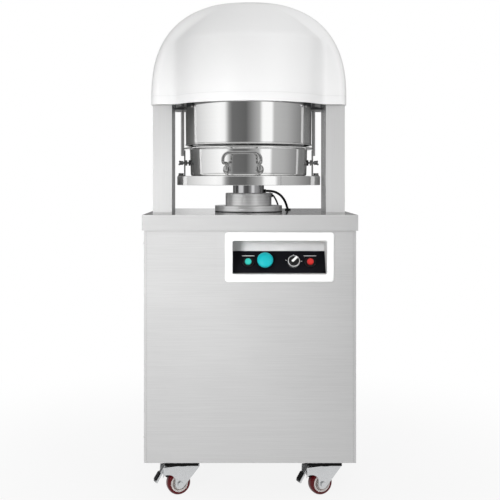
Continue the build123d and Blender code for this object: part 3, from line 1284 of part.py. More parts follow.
def castor_wheel():
    """Wheel: tyre moulded on a recessed hub, bored for the axle."""
    half = WHEEL_WIDTH / 2
    tread = WHEEL_RADIUS - WHEEL_TREAD
    bore = AXLE_RADIUS + RUNNING_FIT
    hub = AXLE_RADIUS * 2.2
    wheel = turned([
        (bore, -half), (hub, -half), (hub, -half + 3.0), (tread - 2.0, -half + 3.0), (tread, -half + 1.0),
        (WHEEL_RADIUS - WHEEL_ROUND, -half + 1.0), (WHEEL_RADIUS, -half + 1.0 + WHEEL_ROUND),
        (WHEEL_RADIUS, half - 1.0 - WHEEL_ROUND), (WHEEL_RADIUS - WHEEL_ROUND, half - 1.0),
        (tread, half - 1.0), (tread - 2.0, half - 3.0), (hub, half - 3.0), (hub, half), (bore, half),
    ])
    return Plane((CASTOR_TRAIL, 0, WHEEL_RADIUS), z_dir=(0, -1, 0)) * wheel


def castor_pedal():
    """Brake pedal on its pin, sloping down behind the wheel."""
    inner = WHEEL_WIDTH / 2 + FORK_GAP
    half = PEDAL_WIDTH / 2
    lever = block((-5.0, PEDAL_LENGTH), (-half, half), (PEDAL_PIN, PEDAL_PIN + PEDAL_SHEET))
    tip_z = (PEDAL_PIN - 2.0, PEDAL_PIN + PEDAL_SHEET + 3.0)
    lever += block((PEDAL_LENGTH - 20.0, PEDAL_LENGTH), (-half, half), tip_z)
    lever = Rot(0, PEDAL_SLOPE, 0) * lever
    pin = Rot(90, 0, 0) * Cylinder(PEDAL_PIN, 2 * (inner + FORK_SHEET))
    boss = Rot(90, 0, 0) * Cylinder(PEDAL_PIN * 2, 2 * half)
    return Pos(PEDAL_PIVOT_X, 0, PEDAL_PIVOT_Z) * (lever + pin + boss)


def castors():
    """Fork and wheel of every castor, and a brake pedal on each front one."""
    nodes = {}
    for name, (x, y) in castor_places().items():
        place = Pos(x, y, 0) * Rot(0, 0, CASTOR_HEADING)
        nodes[name + "_castor_fork"] = place * castor_fork()
        nodes[name + "_castor_wheel"] = place * castor_wheel()
        if name.startswith("front"):
            nodes[name + "_brake_pedal"] = place * castor_pedal()
    return nodes


def build_nodes():
    """Every piece of the machine under its node's name."""
    nodes = {
        "base_frame": base_frame(),
        "bed_plate": bed_plate(),
        "table_top": table_top(),
        "front_panel": front_panel(),
        "right_side_panel": right_side_panel(),
        "left_side_panel": mirrored(right_side_panel()),
        "rear_panel": rear_panel(),
        "cover_screws": cover_screws(),
        "right_post": right_post(),
        "left_post": mirrored(right_post()),
        "frame_bolts": frame_bolts(),
        "head_bridge": head_bridge(),
        "hood": hood(),
        "rod_brackets": rod_brackets(),
        "guide_rods": guide_rods(),
        "knife_carrier": knife_carrier(),
        "knife_grid": knife_grid(),
        "press_head": press_head(),
        "guard_bowl": guard_bowl(),
        "ram_gland": ram_gland(),
        "flange_gasket": flange_gasket(),
        "cylinder_barrel": cylinder_barrel(),
        "ram": ram(),
        "platform": platform(),
        "pan_brackets": pan_brackets(),
        "dough_pan": dough_pan(),
        "pan_handle": pan_handle(),
        "right_screw_pad": right_screw_pad(),
        "left_screw_pad": mirrored(right_screw_pad()),
        "right_wing_screw": right_wing_screw(),
        "left_wing_screw": mirrored(right_wing_screw()),
        "control_bezel": control_bezel(),
        "control_recess": control_recess(),
        "control_plate": control_plate(),
        "switch_bodies": switch_bodies(),
        "selector_ring": selector_ring(),
        "selector_knob": selector_knob(),
        "green_button": push_button(GREEN_X),
        "red_button": push_button(RED_X),
        "start_button": start_button(),
        "ram_sensors": ram_sensors(),
        "thick_sensor_cable": cable("thick_sensor_cable", THICK_ROUTE, THICK_CABLE),
        "thin_sensor_cable": cable("thin_sensor_cable", THIN_ROUTE, THIN_CABLE),
        "cable_grommets": cable_grommets(),
        "mains_gland": mains_gland(),
        "oil_tank": oil_tank(),
        "pump_motor": pump_motor(),
        "oil_fittings": oil_fittings(),
        "electrical_box": electrical_box(),
        "castor_plates": castor_plates(),
    }
    nodes.update(castors())
    return nodes


def main():
    """Write one STEP file per node."""
    os.makedirs("parts", exist_ok=True)
    for name, shape in build_nodes().items():
        export_step(shape, "parts/" + name + ".step")


if __name__ == "__main__":
    main()
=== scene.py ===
"""Looks of a floor-standing dough divider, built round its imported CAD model.

Lengths are in metres in the CAD frame: +Z up, +X to the operator's right, the operator stands at -Y.
"""

from __future__ import annotations

import logging
import math
from dataclasses import dataclass
from enum import Enum
from typing import Any, Optional, Sequence, Union

import bpy
import numpy as np
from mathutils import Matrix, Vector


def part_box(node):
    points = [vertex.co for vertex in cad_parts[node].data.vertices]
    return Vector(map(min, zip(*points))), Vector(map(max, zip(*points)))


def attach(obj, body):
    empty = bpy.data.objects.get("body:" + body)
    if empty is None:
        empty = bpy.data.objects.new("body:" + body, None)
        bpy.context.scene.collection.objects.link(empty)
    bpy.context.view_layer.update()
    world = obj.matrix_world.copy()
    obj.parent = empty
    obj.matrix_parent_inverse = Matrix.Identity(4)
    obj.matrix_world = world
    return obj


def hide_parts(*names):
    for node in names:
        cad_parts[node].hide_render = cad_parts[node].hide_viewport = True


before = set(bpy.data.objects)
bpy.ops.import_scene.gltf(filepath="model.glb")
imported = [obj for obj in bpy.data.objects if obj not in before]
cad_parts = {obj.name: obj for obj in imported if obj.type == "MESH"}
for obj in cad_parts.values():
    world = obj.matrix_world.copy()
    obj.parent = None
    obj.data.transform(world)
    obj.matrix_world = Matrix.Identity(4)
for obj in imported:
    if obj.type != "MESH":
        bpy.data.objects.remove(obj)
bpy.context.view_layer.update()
LOG = logging.getLogger("dough_divider")
Colour = tuple[float, float, float]
Point = tuple[float, float, float]
Corner = tuple[float, float, float]  # two coordinates and the radius that rounds the corner
CORNER_SHARE = 0.42  # most of a run that one rounded corner takes up
GUARD_GROWTH = 0.3  # how far outside a rounded corner its guard point lies, in radii
GUARD_STEP = 0.0002  # and in metres added to that
GUARD_SHARE = 0.45  # most of what is left of half a run that the guard point takes up


class Grain(Enum):
    """Direction of a brushed finish, as the axis along which its scratches run."""

    ACROSS = 0
    DEEP = 1
    UP = 2


class Side(Enum):
    """Which side of the machine a piece is on, as the sign of its X."""

    LEFT = -1
    RIGHT = 1

    @property
    def word(self) -> str:
        """The side's name as it stands in node and body names."""
        return self.name.lower()


class Value:
    """A shader number: arithmetic on it adds Math nodes to its tree."""

    def __init__(self, tree: "Tree", socket: bpy.types.NodeSocket) -> None:
        """Hold an output socket and the tree it belongs to."""
        self.tree = tree
        self.socket = socket

    def math(self, operation: str, first: "Number", second: "Number" = 0.0) -> "Value":
        """Join two numbers by a Math node.

        Args:
            operation: The Math node's operation.
            first: Left operand.
            second: Right operand.

        Returns:
            The node's result.
        """
        node = self.tree.node("ShaderNodeMath", {"operation": operation}, {0: first, 1: second})
        return Value(self.tree, node.outputs[0])

    def __add__(self, other: "Number") -> "Value":
        """Sum."""
        return self.math("ADD", self, other)

    def __radd__(self, other: "Number") -> "Value":
        """Sum with the number on the left."""
        return self.math("ADD", other, self)

    def __sub__(self, other: "Number") -> "Value":
        """Difference."""
        return self.math("SUBTRACT", self, other)

    def __rsub__(self, other: "Number") -> "Value":
        """Difference with the number on the left."""
        return self.math("SUBTRACT", other, self)

    def __mul__(self, other: "Number") -> "Value":
        """Product."""
        return self.math("MULTIPLY", self, other)

    def __rmul__(self, other: "Number") -> "Value":
        """Product with the number on the left."""
        return self.math("MULTIPLY", other, self)

    def __truediv__(self, other: "Number") -> "Value":
        """Quotient."""
        return self.math("DIVIDE", self, other)

    def __pow__(self, other: "Number") -> "Value":
        """Power."""
        return self.math("POWER", self, other)

    def above(self, edge: float, soft: float) -> "Value":
        """A smooth step.

        Args:
            edge: Value at the middle of the step.
            soft: Half its width.

        Returns:
            0 well below the edge and 1 well above it.
        """
        ends = {"Value": self, "From Min": edge - soft, "From Max": edge + soft}
        node = self.tree.node("ShaderNodeMapRange", {"interpolation_type": "SMOOTHSTEP"}, ends)
        return Value(self.tree, node.outputs[0])

    def band(self, low: float, high: float, soft: float) -> "Value":
        """1 between two values and 0 outside them, with soft ends."""
        return self.above(low, soft) - self.above(high, soft)

    def swing(self, amount: float) -> "Value":
        """A noise's distance from its middle, times an amount."""
        return (self - 0.5) * amount


Number = Union[float, Value]


class Tree:
    """A node tree with one way to add nodes."""

    def __init__(self, nodes: bpy.types.NodeTree) -> None:
        """Empty the tree and keep it."""
        self.nodes = nodes
        nodes.nodes.clear()

    def node(self, kind: str, settings: Optional[dict] = None,
             inputs: Optional[dict] = None) -> bpy.types.Node:
        """Add a node.

        Args:
            kind: The node's type.
            settings: Its attributes, set first; "stops" are a ramp's places and tones.
            inputs: Values or links of its sockets, by name or number.

        Returns:
            The node.
        """
        node = self.nodes.nodes.new(kind)
        for key, value in (settings or {}).items():
            if key == "stops":
                self.fill_ramp(node.color_ramp, value)
            else:
                setattr(node, key, value)
        for key, value in (inputs or {}).items():
            socket = value.socket if isinstance(value, Value) else value
            if isinstance(socket, bpy.types.NodeSocket):
                self.nodes.links.new(socket, node.inputs[key])
            else:
                node.inputs[key].default_value = socket
        return node

    @staticmethod
    def fill_ramp(ramp: bpy.types.ColorRamp, stops: Sequence[tuple[float, float]]) -> None:
        """Give a colour ramp grey stops, as pairs of place and tone in rising order.

        Args:
            ramp: The ramp.
            stops: Places and tones.
        """
        while len(ramp.elements) < len(stops):
            ramp.elements.new(1.0)
        for element, (place, tone) in zip(ramp.elements, stops):
            element.position = place
            element.color = grey(tone)

    def value(self, node: bpy.types.Node, output: Union[int, str] = 0) -> Value:
        """A node's output as a number."""
        return Value(self, node.outputs[output])

    def axes(self, vector: bpy.types.NodeSocket) -> list[Value]:
        """The three parts of a vector."""
        node = self.node("ShaderNodeSeparateXYZ", {}, {0: vector})
        return [self.value(node, i) for i in range(3)]

    def rays(self) -> tuple[Value, Value]:
        """Masks of the rays that see a surface directly or through glass, and of the glossy ones.

        Returns:
            The two masks.
        """
        path = self.node("ShaderNodeLightPath")
        direct = self.value(path, "Is Camera Ray") + self.value(path, "Is Transmission Ray")
        return direct, self.value(path, "Is Glossy Ray")

    def blend(self, factor: Number, low: Any, high: Any) -> bpy.types.NodeSocket:
        """Mix two colours.

        Args:
            factor: 0 for the first colour, 1 for the second.
            low: First colour, or a socket.
            high: Second colour, or a socket.

        Returns:
            The mixed colour's socket.
        """
        ends = [(*end, 1.0) if isinstance(end, tuple) and len(end) == 3 else end for end in (low, high)]
        settings = {"data_type": "RGBA", "clamp_factor": True}
        node = self.node("ShaderNodeMix", settings, {0: factor, 6: ends[0], 7: ends[1]})
        return node.outputs[2]


class Shader(Tree):
    """One material: Object coordinates in, a Principled shader out."""

    def __init__(self, name: str) -> None:
        """Start an empty material.

        Args:
            name: The material's name.
        """
        self.material = bpy.data.materials.new(name)
        self.material.use_nodes = True
        super().__init__(self.material.node_tree)
        self.place = self.node("ShaderNodeTexCoord").outputs["Object"]

    def stretched(self, scale: Point) -> bpy.types.NodeSocket:
        """Object coordinates multiplied by a scale on each axis."""
        node = self.node("ShaderNodeMapping", {}, {"Vector": self.place, "Scale": scale})
        return node.outputs[0]

    def noise(self, scale: float, detail: float = 3.0, stretch: Optional[Point] = None) -> Value:
        """Smooth noise over the piece.

        Args:
            scale: Features per metre.
            detail: Octaves.
            stretch: Extra scale on each axis.

        Returns:
            Noise about 0.5.
        """
        vector = self.stretched(stretch) if stretch else self.place
        node = self.node("ShaderNodeTexNoise", {}, {"Vector": vector, "Scale": scale, "Detail": detail})
        return self.value(node)

    def bump(self, height: Value, depth: float, strength: float = 0.5) -> bpy.types.NodeSocket:
        """A normal from a height.

        Args:
            height: Height, about 0 to 1.
            depth: Metres that a height of 1 stands for.
            strength: Share of the effect.

        Returns:
            The normal's socket.
        """
        inputs = {"Height": height, "Distance": depth, "Strength": strength}
        return self.node("ShaderNodeBump", {}, inputs).outputs[0]

    def surface(self, **inputs: Any) -> bpy.types.Material:
        """End the material in a Principled shader.

        Args:
            inputs: Its sockets by name, with _ for a space.

        Returns:
            The material.
        """
        sockets = {key.replace("_", " "): value for key, value in inputs.items()}
        shader = self.node("ShaderNodeBsdfPrincipled", {}, sockets)
        self.node("ShaderNodeOutputMaterial", {}, {0: shader.outputs[0]})
        return self.material


def shade(tone: Colour, factor: float) -> Colour:
    """A colour made lighter or darker by a factor."""
    return tuple(min(1.0, part * factor) for part in tone)


def grey(tone: float) -> tuple[float, float, float, float]:
    """A grey as an opaque colour."""
    return (tone, tone, tone, 1.0)


@dataclass(frozen=True)
class Finish:
    """A named surface finish."""

    name: str
    tone: Colour

    def build(self) -> bpy.types.Material:
        """Make the material; each kind of finish has its own."""
        raise NotImplementedError

    def material(self) -> bpy.types.Material:
        """The finish's material, made once."""
        return bpy.data.materials.get(self.name) or self.build()

    def tinted(self, shader: Shader, factor: Number, low: float, high: float) -> bpy.types.NodeSocket:
        """The finish's tone between a darker and a lighter shade."""
        return shader.blend(factor, shade(self.tone, low), shade(self.tone, high))

    def dress(self, *pieces: bpy.types.Object) -> None:
        """Give pieces this finish alone.

        Args:
            pieces: Objects with a mesh or a curve.
        """
        for piece in pieces:
            piece.data.materials.clear()
            piece.data.materials.append(self.material())
            if hasattr(piece.data, "polygons"):
                first_slot = np.zeros(len(piece.data.polygons), np.int32)
                piece.data.polygons.foreach_set("material_index", first_slot)

    def dress_nodes(self, *names: str) -> None:
        """Give CAD nodes this finish alone."""
        self.dress(*(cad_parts[name] for name in names))


@dataclass(frozen=True)
class Brushed(Finish):
    """Stainless sheet with fine straight scratches along one axis.

    Where asked for, it is polished above a height, with its tone darkened there as painted shade, or part
    bare within a distance of the middle plane.
    """

    grain: Grain = Grain.ACROSS
    roughness: float = 0.36
    metallic: float = 0.45
    contrast: float = 0.04
    edge: float = 1.0
    polished_shaded_above: Optional[float] = None
    bright_metallic: float = 0.7
    bright_roughness: float = 0.08
    top_painted_shade: float = 0.8
    bare_within: Optional[float] = None
    bare_metallic: float = 0.42
    bare_roughness: float = 0.25
    across: float = 1100.0
    along: float = 11.0
    coarse: float = 0.12
    relief: float = 0.00001

    def build(self) -> bpy.types.Material:
        """Noise drawn out along the grain tints the sheet, varies its gloss and gives it a faint relief.

        Returns:
            The material.
        """
        shader = Shader(self.name)
        stretch = [self.across] * 3
        stretch[self.grain.value] = self.along
        fine = shader.noise(1.0, 2.0, tuple(stretch))
        wide = shader.noise(1.0, 2.0, tuple(part * self.coarse for part in stretch))
        cloud = shader.noise(5.0, 2.0)
        line = fine * 0.8 + wide * 0.2
        tint = line.swing(1.6) + cloud.swing(0.5) + 0.5
        colour = self.tinted(shader, tint, 1 - self.contrast, 1 + self.contrast)
        gloss = self.roughness + fine.swing(0.16) + cloud.swing(0.08)
        metal: Number = self.metallic
        x, _, z = shader.axes(shader.place)
        if self.polished_shaded_above is not None:
            top = z.above(self.polished_shaded_above, 0.0002)
            metal = self.metallic + top * (self.bright_metallic - self.metallic)
            gloss = gloss + top * (self.bright_roughness - self.roughness)
            # painted shade: above the height the tone is darkened, besides the real polish of more metal and
            # gloss
            colour = shader.blend(top, colour, shade(self.tone, self.top_painted_shade))
        if self.bare_within is not None:
            inner = 1 - x.math("ABSOLUTE", x).above(self.bare_within, 0.0001)
            metal = self.metallic + inner * (self.bare_metallic - self.metallic)
            gloss = gloss + inner * (self.bare_roughness - self.roughness)
        return shader.surface(Base_Color=colour, Metallic=metal, Roughness=gloss,
                              Normal=shader.bump(line, self.relief, 0.3), Specular_Tint=grey(self.edge))


@dataclass(frozen=True)
class Spun(Finish):
    """Metal polished on a lathe: faint rings round the Z axis under a bright surface."""

    roughness: float = 0.14
    metallic: float = 1.0
    rings: float = 1400.0
    relief: float = 0.00001
    contrast: float = 0.045
    seam_at: Optional[float] = None
    seam_half: float = 0.0012
    seam_soft: float = 0.0007
    seam_dull: float = 0.35

    def build(self) -> bpy.types.Material:
        """Noise on the height and on the radius gives the rings; a seam is a thin dull line at one angle.

        Returns:
            The material.
        """
        shader = Shader(self.name)
        x, y, z = shader.axes(shader.place)
        radius = (x * x + y * y) ** 0.5
        ring = shader.node("ShaderNodeCombineXYZ", {}, {0: radius * self.rings, 2: z * self.rings})
        lines = shader.value(shader.node("ShaderNodeTexNoise", {}, {"Vector": ring.outputs[0], "Scale": 1.0}))
        cloud = shader.noise(14.0, 3.0)
        mark = cloud.swing(0.10) + lines.swing(0.14)
        colour = self.tinted(shader, lines, 1 - self.contrast, 1 + self.contrast)
        gloss = self.roughness + mark * (self.roughness + 0.12)
        if self.seam_at is not None:
            along = x * math.cos(self.seam_at) + y * math.sin(self.seam_at)
            off = x * math.sin(self.seam_at) - y * math.cos(self.seam_at)
            seam = off.band(-self.seam_half, self.seam_half, self.seam_soft) * along.above(0.0, 0.01)
            gloss = gloss + seam * self.seam_dull
            colour = shader.blend(seam * 0.6, colour, shade(self.tone, 0.5))
        return shader.surface(Base_Color=colour, Metallic=self.metallic, Roughness=gloss,
                              Normal=shader.bump(lines, self.relief, 0.3))


@dataclass(frozen=True)
class Plated(Finish):
    """Zinc or nickel plate on pressed or turned steel, a little cloudy."""

    roughness: float = 0.3
    metallic: float = 0.9
    clouds: float = 38.0
    grit: float = 260.0
    relief: float = 0.00004

    def build(self) -> bpy.types.Material:
        """Two noises give clouds in the plate and a fine grain.

        Returns:
            The material.
        """
        shader = Shader(self.name)
        cloud = shader.noise(self.clouds, 4.0)
        fine = shader.noise(self.grit, 3.0)
        colour = self.tinted(shader, cloud * 0.7 + fine * 0.3, 0.8, 1.12)
        gloss = self.roughness + cloud.swing(0.25)
        return shader.surface(Base_Color=colour, Metallic=self.metallic, Roughness=gloss,
                              Normal=shader.bump(fine, self.relief, 0.3))


@dataclass(frozen=True)
class Moulding(Finish):
    """Gloss moulding or enamel with a faint orange peel and, where asked for, a pressed hem."""

    roughness: float = 0.2
    peel: float = 0.00006
    coat: float = 0.4
    coat_roughness: float = 0.06
    hem: Optional[float] = None
    hem_half: float = 0.0008
    hem_depth: float = 0.0007

    def build(self) -> bpy.types.Material:
        """Noise gives the peel and a slight clouding; the hem is a shallow groove at one height, darkened
        there with painted shade.

        Returns:
            The material.
        """
        shader = Shader(self.name)
        cloud = shader.noise(9.0, 3.0)
        skin = shader.noise(170.0, 2.0)
        colour = self.tinted(shader, cloud, 0.975, 1.0)
        height = skin * self.peel
        if self.hem is not None:
            z = shader.axes(shader.place)[2]
            groove = z.band(self.hem - self.hem_half, self.hem + self.hem_half, self.hem_half)
            height = height - groove * self.hem_depth
            # painted shade in the groove: its colour is darkened towards 0.8 of the tone
            colour = shader.blend(groove * 0.35, colour, shade(self.tone, 0.8))
        gloss = self.roughness + cloud.swing(0.1)
        return shader.surface(Base_Color=colour, Roughness=gloss, Normal=shader.bump(height, 1.0, 0.6),
                              Coat_Weight=self.coat, Coat_Roughness=self.coat_roughness)


@dataclass(frozen=True)
class Satin(Finish):
    """Satin paint, black plastic or rubber with a fine texture."""

    roughness: float = 0.5
    texture: float = 700.0
    relief: float = 0.00008
    specular: float = 0.5

    def build(self) -> bpy.types.Material:
        """Fine noise gives the texture; a wider one varies the tone and the gloss.

        Returns:
            The material.
        """
        shader = Shader(self.name)
        fine = shader.noise(self.texture, 3.0)
        cloud = shader.noise(24.0, 3.0)
        colour = self.tinted(shader, cloud * 0.6 + fine * 0.4, 0.78, 1.22)
        gloss = self.roughness + cloud.swing(0.2)
        return shader.surface(Base_Color=colour, Roughness=gloss, Normal=shader.bump(fine, self.relief, 0.4),
                              Specular_IOR_Level=self.specular)


# The hood's hem groove is darkened with painted shade.
WHITE_HOOD = Moulding("hood_white_moulding", (0.87, 0.87, 0.87), roughness=0.35, coat=0.25, hem=1.0485)
WHITE_BEZEL = Moulding("bezel_white_moulding", (0.90, 0.90, 0.90), roughness=0.36, coat=0.2)
PANEL_STEEL = Brushed("panel_brushed_steel", (0.64, 0.64, 0.64), metallic=0.4, contrast=0.08)
SIDE_STEEL = Brushed("side_brushed_steel", (0.65, 0.65, 0.65), grain=Grain.DEEP, contrast=0.08)
POST_STEEL = Brushed("post_brushed_steel", (0.66, 0.66, 0.66), grain=Grain.UP, metallic=0.3,
                     bare_within=0.2107)
# The table's top is polished, and its tone is darkened there as painted shade.
TABLE_STEEL = Brushed("table_brushed_steel", (0.66, 0.66, 0.66), roughness=0.32, polished_shaded_above=0.7307,
                      edge=0.3)
ROD_STEEL = Plated("guide_rod_bright_steel", (0.94, 0.94, 0.935), roughness=0.2, metallic=0.3)
BOWL_STEEL = Spun("bowl_spun_steel", (0.95, 0.95, 0.945), roughness=0.055)
PAN_STEEL = Spun("pan_spun_steel", (0.95, 0.95, 0.945), roughness=0.06)
PLATFORM_STEEL = Spun("platform_rolled_steel", (0.95, 0.95, 0.945), roughness=0.07, seam_at=math.radians(-66))
GLAND_STEEL = Spun("gland_turned_steel", (0.88, 0.88, 0.875), roughness=0.34, metallic=0.8, rings=300.0,
                   relief=0.00015, contrast=0.3)
RAM_CHROME = Spun("ram_hard_chrome", (0.58, 0.58, 0.59), roughness=0.03, rings=2600.0, relief=0.000002)
HANDLE_STEEL = Plated("handle_bright_steel", (0.45, 0.45, 0.447), roughness=0.07, metallic=1.0)
WING_STEEL = Plated("wing_screw_dark_steel", (0.34, 0.34, 0.345), roughness=0.28, metallic=1.0)
KNIFE_STEEL = Plated("knife_stainless_steel", (0.62, 0.62, 0.62), roughness=0.24, metallic=1.0)
FRAME_GREY = Satin("frame_grey_paint", (0.22, 0.23, 0.24), roughness=0.45)
# Near-black paint that is partly painted shade: it also stands in for the shade under the cabinet.
FRAME_BLACK = Satin("base_black_paint_and_shade", (0.008, 0.008, 0.008), roughness=0.55, specular=0.12)
BRACKET_GREY = Plated("rod_bracket_steel", (0.22, 0.22, 0.225), roughness=0.34, metallic=0.7)
RECESS_GREY = Satin("recess_grey_paint", (0.70, 0.70, 0.70), roughness=0.4, relief=0.00004)
MOTOR_GREY = Satin("motor_grey_enamel", (0.16, 0.19, 0.24), roughness=0.4)
ZINC = Plated("castor_zinc_plate", (0.66, 0.67, 0.68), roughness=0.26)
SCREW_STEEL = Plated("screw_nickel_plate", (0.66, 0.66, 0.65), roughness=0.22)
BLACK_RUBBER = Satin("black_rubber", (0.018, 0.018, 0.019), roughness=0.62, relief=0.00012, specular=0.3)
CABLE_BLACK = Satin("cable_black_sheath", (0.012, 0.012, 0.013), roughness=0.42, relief=0.00003, specular=0.3)
PLATE_BLACK = Satin("control_plate_black", (0.005, 0.005, 0.007), roughness=0.42, relief=0.00002,
                    specular=0.08)
SWITCH_BLACK = Satin("switch_black_plastic", (0.009, 0.009, 0.010), roughness=0.45, relief=0.00005,
                     specular=0.14)
KNOB_BLACK = Satin("selector_black_plastic", (0.012, 0.012, 0.013), roughness=0.4, relief=0.00004,
                   specular=0.2)
MARK_WHITE = Satin("marking_white_ink", (0.85, 0.85, 0.85), roughness=0.5, relief=0.00001)
SELECTOR_CHROME = Plated("selector_chrome", (0.86, 0.86, 0.87), roughness=0.16, metallic=0.8)
START_TEAL = Moulding("start_button_teal", (0.0, 0.40, 0.44), roughness=0.42, coat=0.08)
GREEN_CAP = Moulding("green_button_cap", (0.025, 0.46, 0.39), roughness=0.36, coat=0.15)
RED_CAP = Moulding("red_button_cap", (0.54, 0.018, 0.014), roughness=0.36, coat=0.15)
TYRE_RED = Satin("castor_red_tyre", (0.12, 0.004, 0.007), roughness=0.30, relief=0.00004, specular=0.25)
HUB_PALE = Satin("castor_pale_hub", (0.80, 0.75, 0.73), roughness=0.4, relief=0.00005)


def grid_faces(rows: int, columns: int) -> np.ndarray:
    """Quads that join the neighbours of a grid of points whose last column joins its first.

    Args:
        rows: Points along the first parameter.
        columns: Points along the second.

    Returns:
        Vertex numbers, four to a face.
    """
    i = np.arange(rows - 1)[:, None]
    j = np.arange(columns)[None, :]
    up = (j + 1) % columns
    corners = (i * columns + j, (i + 1) * columns + j, (i + 1) * columns + up, i * columns + up)
    return np.stack([np.broadcast_to(c, (i.size, j.size)) for c in corners], axis=-1).reshape(-1, 4)


@dataclass
class Piece:
    """A new piece made of one or more grids of points."""

    name: str
    body: str
    finish: Finish
    slot: str
    crease: float = 40.0

    def __post_init__(self) -> None:
        """Start with no surface."""
        self.points: list[np.ndarray] = []
        self.faces: list[np.ndarray] = []
        self.count = 0

    def add(self, grid: np.ndarray) -> "Piece":
        """Add a closed surface, with its faces turned outwards.

        Args:
            grid: Points on two parameters, as an array of shape rows, columns, 3, round the second one.

        Returns:
            The piece itself.
        """
        rows, columns = grid.shape[:2]
        flat = grid.reshape(-1, 3)
        faces = grid_faces(rows, columns)
        a, b, c, d = (flat[faces[:, k]] - flat.mean(axis=0) for k in range(4))
        volume = np.einsum("ij,ij->i", a, np.cross(b, c)) + np.einsum("ij,ij->i", a, np.cross(c, d))
        if volume.sum() < 0:
            faces = faces[:, ::-1]
        self.points.append(flat)
        self.faces.append(faces + self.count)
        self.count += len(flat)
        return self

    def make(self, *replaced: str) -> None:
        """Turn the surfaces into an object that rides on its body.

        Args:
            replaced: CAD nodes that the piece stands for.
        """
        mesh = bpy.data.meshes.new(self.name)
        points, faces = weld(np.concatenate(self.points), np.concatenate(self.faces))
        mesh.from_pydata(points.tolist(), [], faces)
        mesh.validate()
        mesh.polygons.foreach_set("use_smooth", np.ones(len(mesh.polygons), bool))
        mesh.set_sharp_from_angle(angle=math.radians(self.crease))
        piece = bpy.data.objects.new(self.name, mesh)
        bpy.context.scene.collection.objects.link(piece)
        self.finish.dress(piece)
        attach(piece, self.body)
        if replaced:
            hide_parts(*replaced)
        LOG.info("%s: %d faces on %s", self.name, len(mesh.polygons), self.body)


def weld(points: np.ndarray, faces: np.ndarray) -> tuple[np.ndarray, list[list[int]]]:
    """Merge points that lie on each other, so that poles and seams close.

    Args:
        points: Points of the surface.
        faces: Quads on them.

    Returns:
        The points that are left, and the faces, as triangles where two corners met.
    """
    keys = np.round(points, 7)
    _, first, where = np.unique(keys, axis=0, return_index=True, return_inverse=True)
    faces = where.reshape(-1)[faces]
    kept = points[first]
    same = faces == np.roll(faces, -1, axis=1)
    whole = faces[~same.any(axis=1)]
    once = same.sum(axis=1) == 1
    pinched = faces[once][~same[once]].reshape(-1, 3)
    return kept, whole.tolist() + pinched.tolist()


def turn_about(profile: np.ndarray, segments: int) -> np.ndarray:
    """A profile of radius and height turned about the Z axis: (r cos t, r sin t, z).

    Args:
        profile: Radius and height along the outline.
        segments: Steps of the turn.

    Returns:
        Grid of points on the outline and on the angle.
    """
    angle = np.linspace(0, 2 * math.pi, segments, endpoint=False)
    radius = profile[:, :1]
    height = np.broadcast_to(profile[:, 1:], (len(profile), segments))
    return np.stack([radius * np.cos(angle), radius * np.sin(angle), height], axis=-1)


def rounded(outline: Sequence[Corner], steps: int = 6) -> np.ndarray:
    """An outline in two dimensions with each corner rounded by its own radius.

    Each corner becomes a quadratic curve between two points at the radius from it, so the line stays smooth.
    A point a little outside each end of the curve keeps the straight runs' shading flat.

    Args:
        outline: Two coordinates and a radius for each corner; the first and last stay sharp.
        steps: Points on each curve.

    Returns:
        The points of the smoothed outline.
    """
    corners = np.asarray(outline, float)
    pieces = [corners[:1, :2]]
    t = np.linspace(0, 1, steps)[:, None]
    for before, corner, after in zip(corners, corners[1:], corners[2:]):
        runs = np.stack([before[:2], after[:2]]) - corner[:2]
        lengths = np.linalg.norm(runs, axis=1, keepdims=True)
        reach = min(corner[2], CORNER_SHARE * lengths.min())
        guard = reach + np.minimum(GUARD_GROWTH * reach + GUARD_STEP, GUARD_SHARE * (0.5 * lengths - reach))
        start, end = corner[:2] + runs / lengths * reach
        lead, tail = corner[:2] + runs / lengths * guard
        curve = (1 - t) ** 2 * start + 2 * t * (1 - t) * corner[:2] + t**2 * end
        pieces += [lead[None], curve, tail[None]]
    pieces.append(corners[-1:, :2])
    return np.concatenate(pieces)


def lathe(outline: Sequence[Corner], segments: int, steps: int = 6) -> np.ndarray:
    """An outline of radius and height, with its corners rounded, turned about the Z axis."""
    return turn_about(rounded(outline, steps), segments)


def both_sides(half: Sequence[Corner]) -> list[Corner]:
    """Half an outline of radius and width, followed by its mirror image back to where it began."""
    return [*half, *((radius, -width, corner) for radius, width, corner in reversed(half))]


def bent_path(points: Sequence[Point], radii: Sequence[float], steps: int = 10) -> np.ndarray:
    """A path in space with an arc at each corner, tangent to both runs.

    Args:
        points: Corners of the path.
        radii: Radius at each inner corner.
        steps: Points on each arc.

    Returns:
        Points along the path.
    """
    corners = np.asarray(points, float)
    pieces = [corners[:1]]
    for before, corner, after, radius in zip(corners, corners[1:], corners[2:], radii):
        back = (before - corner) / np.linalg.norm(before - corner)
        ahead = (after - corner) / np.linalg.norm(after - corner)
        half = math.acos(float(np.clip(back @ ahead, -1, 1))) / 2
        middle = (back + ahead) / np.linalg.norm(back + ahead)
        centre = corner + middle * radius / math.sin(half)
        spread = math.pi / 2 - half
        side = (ahead - back) / np.linalg.norm(ahead - back)
        angle = np.linspace(-spread, spread, steps)[:, None]
        pieces.append(centre - radius * np.cos(angle) * middle + radius * np.sin(angle) * side)
    pieces.append(corners[-1:])
    return np.concatenate(pieces)


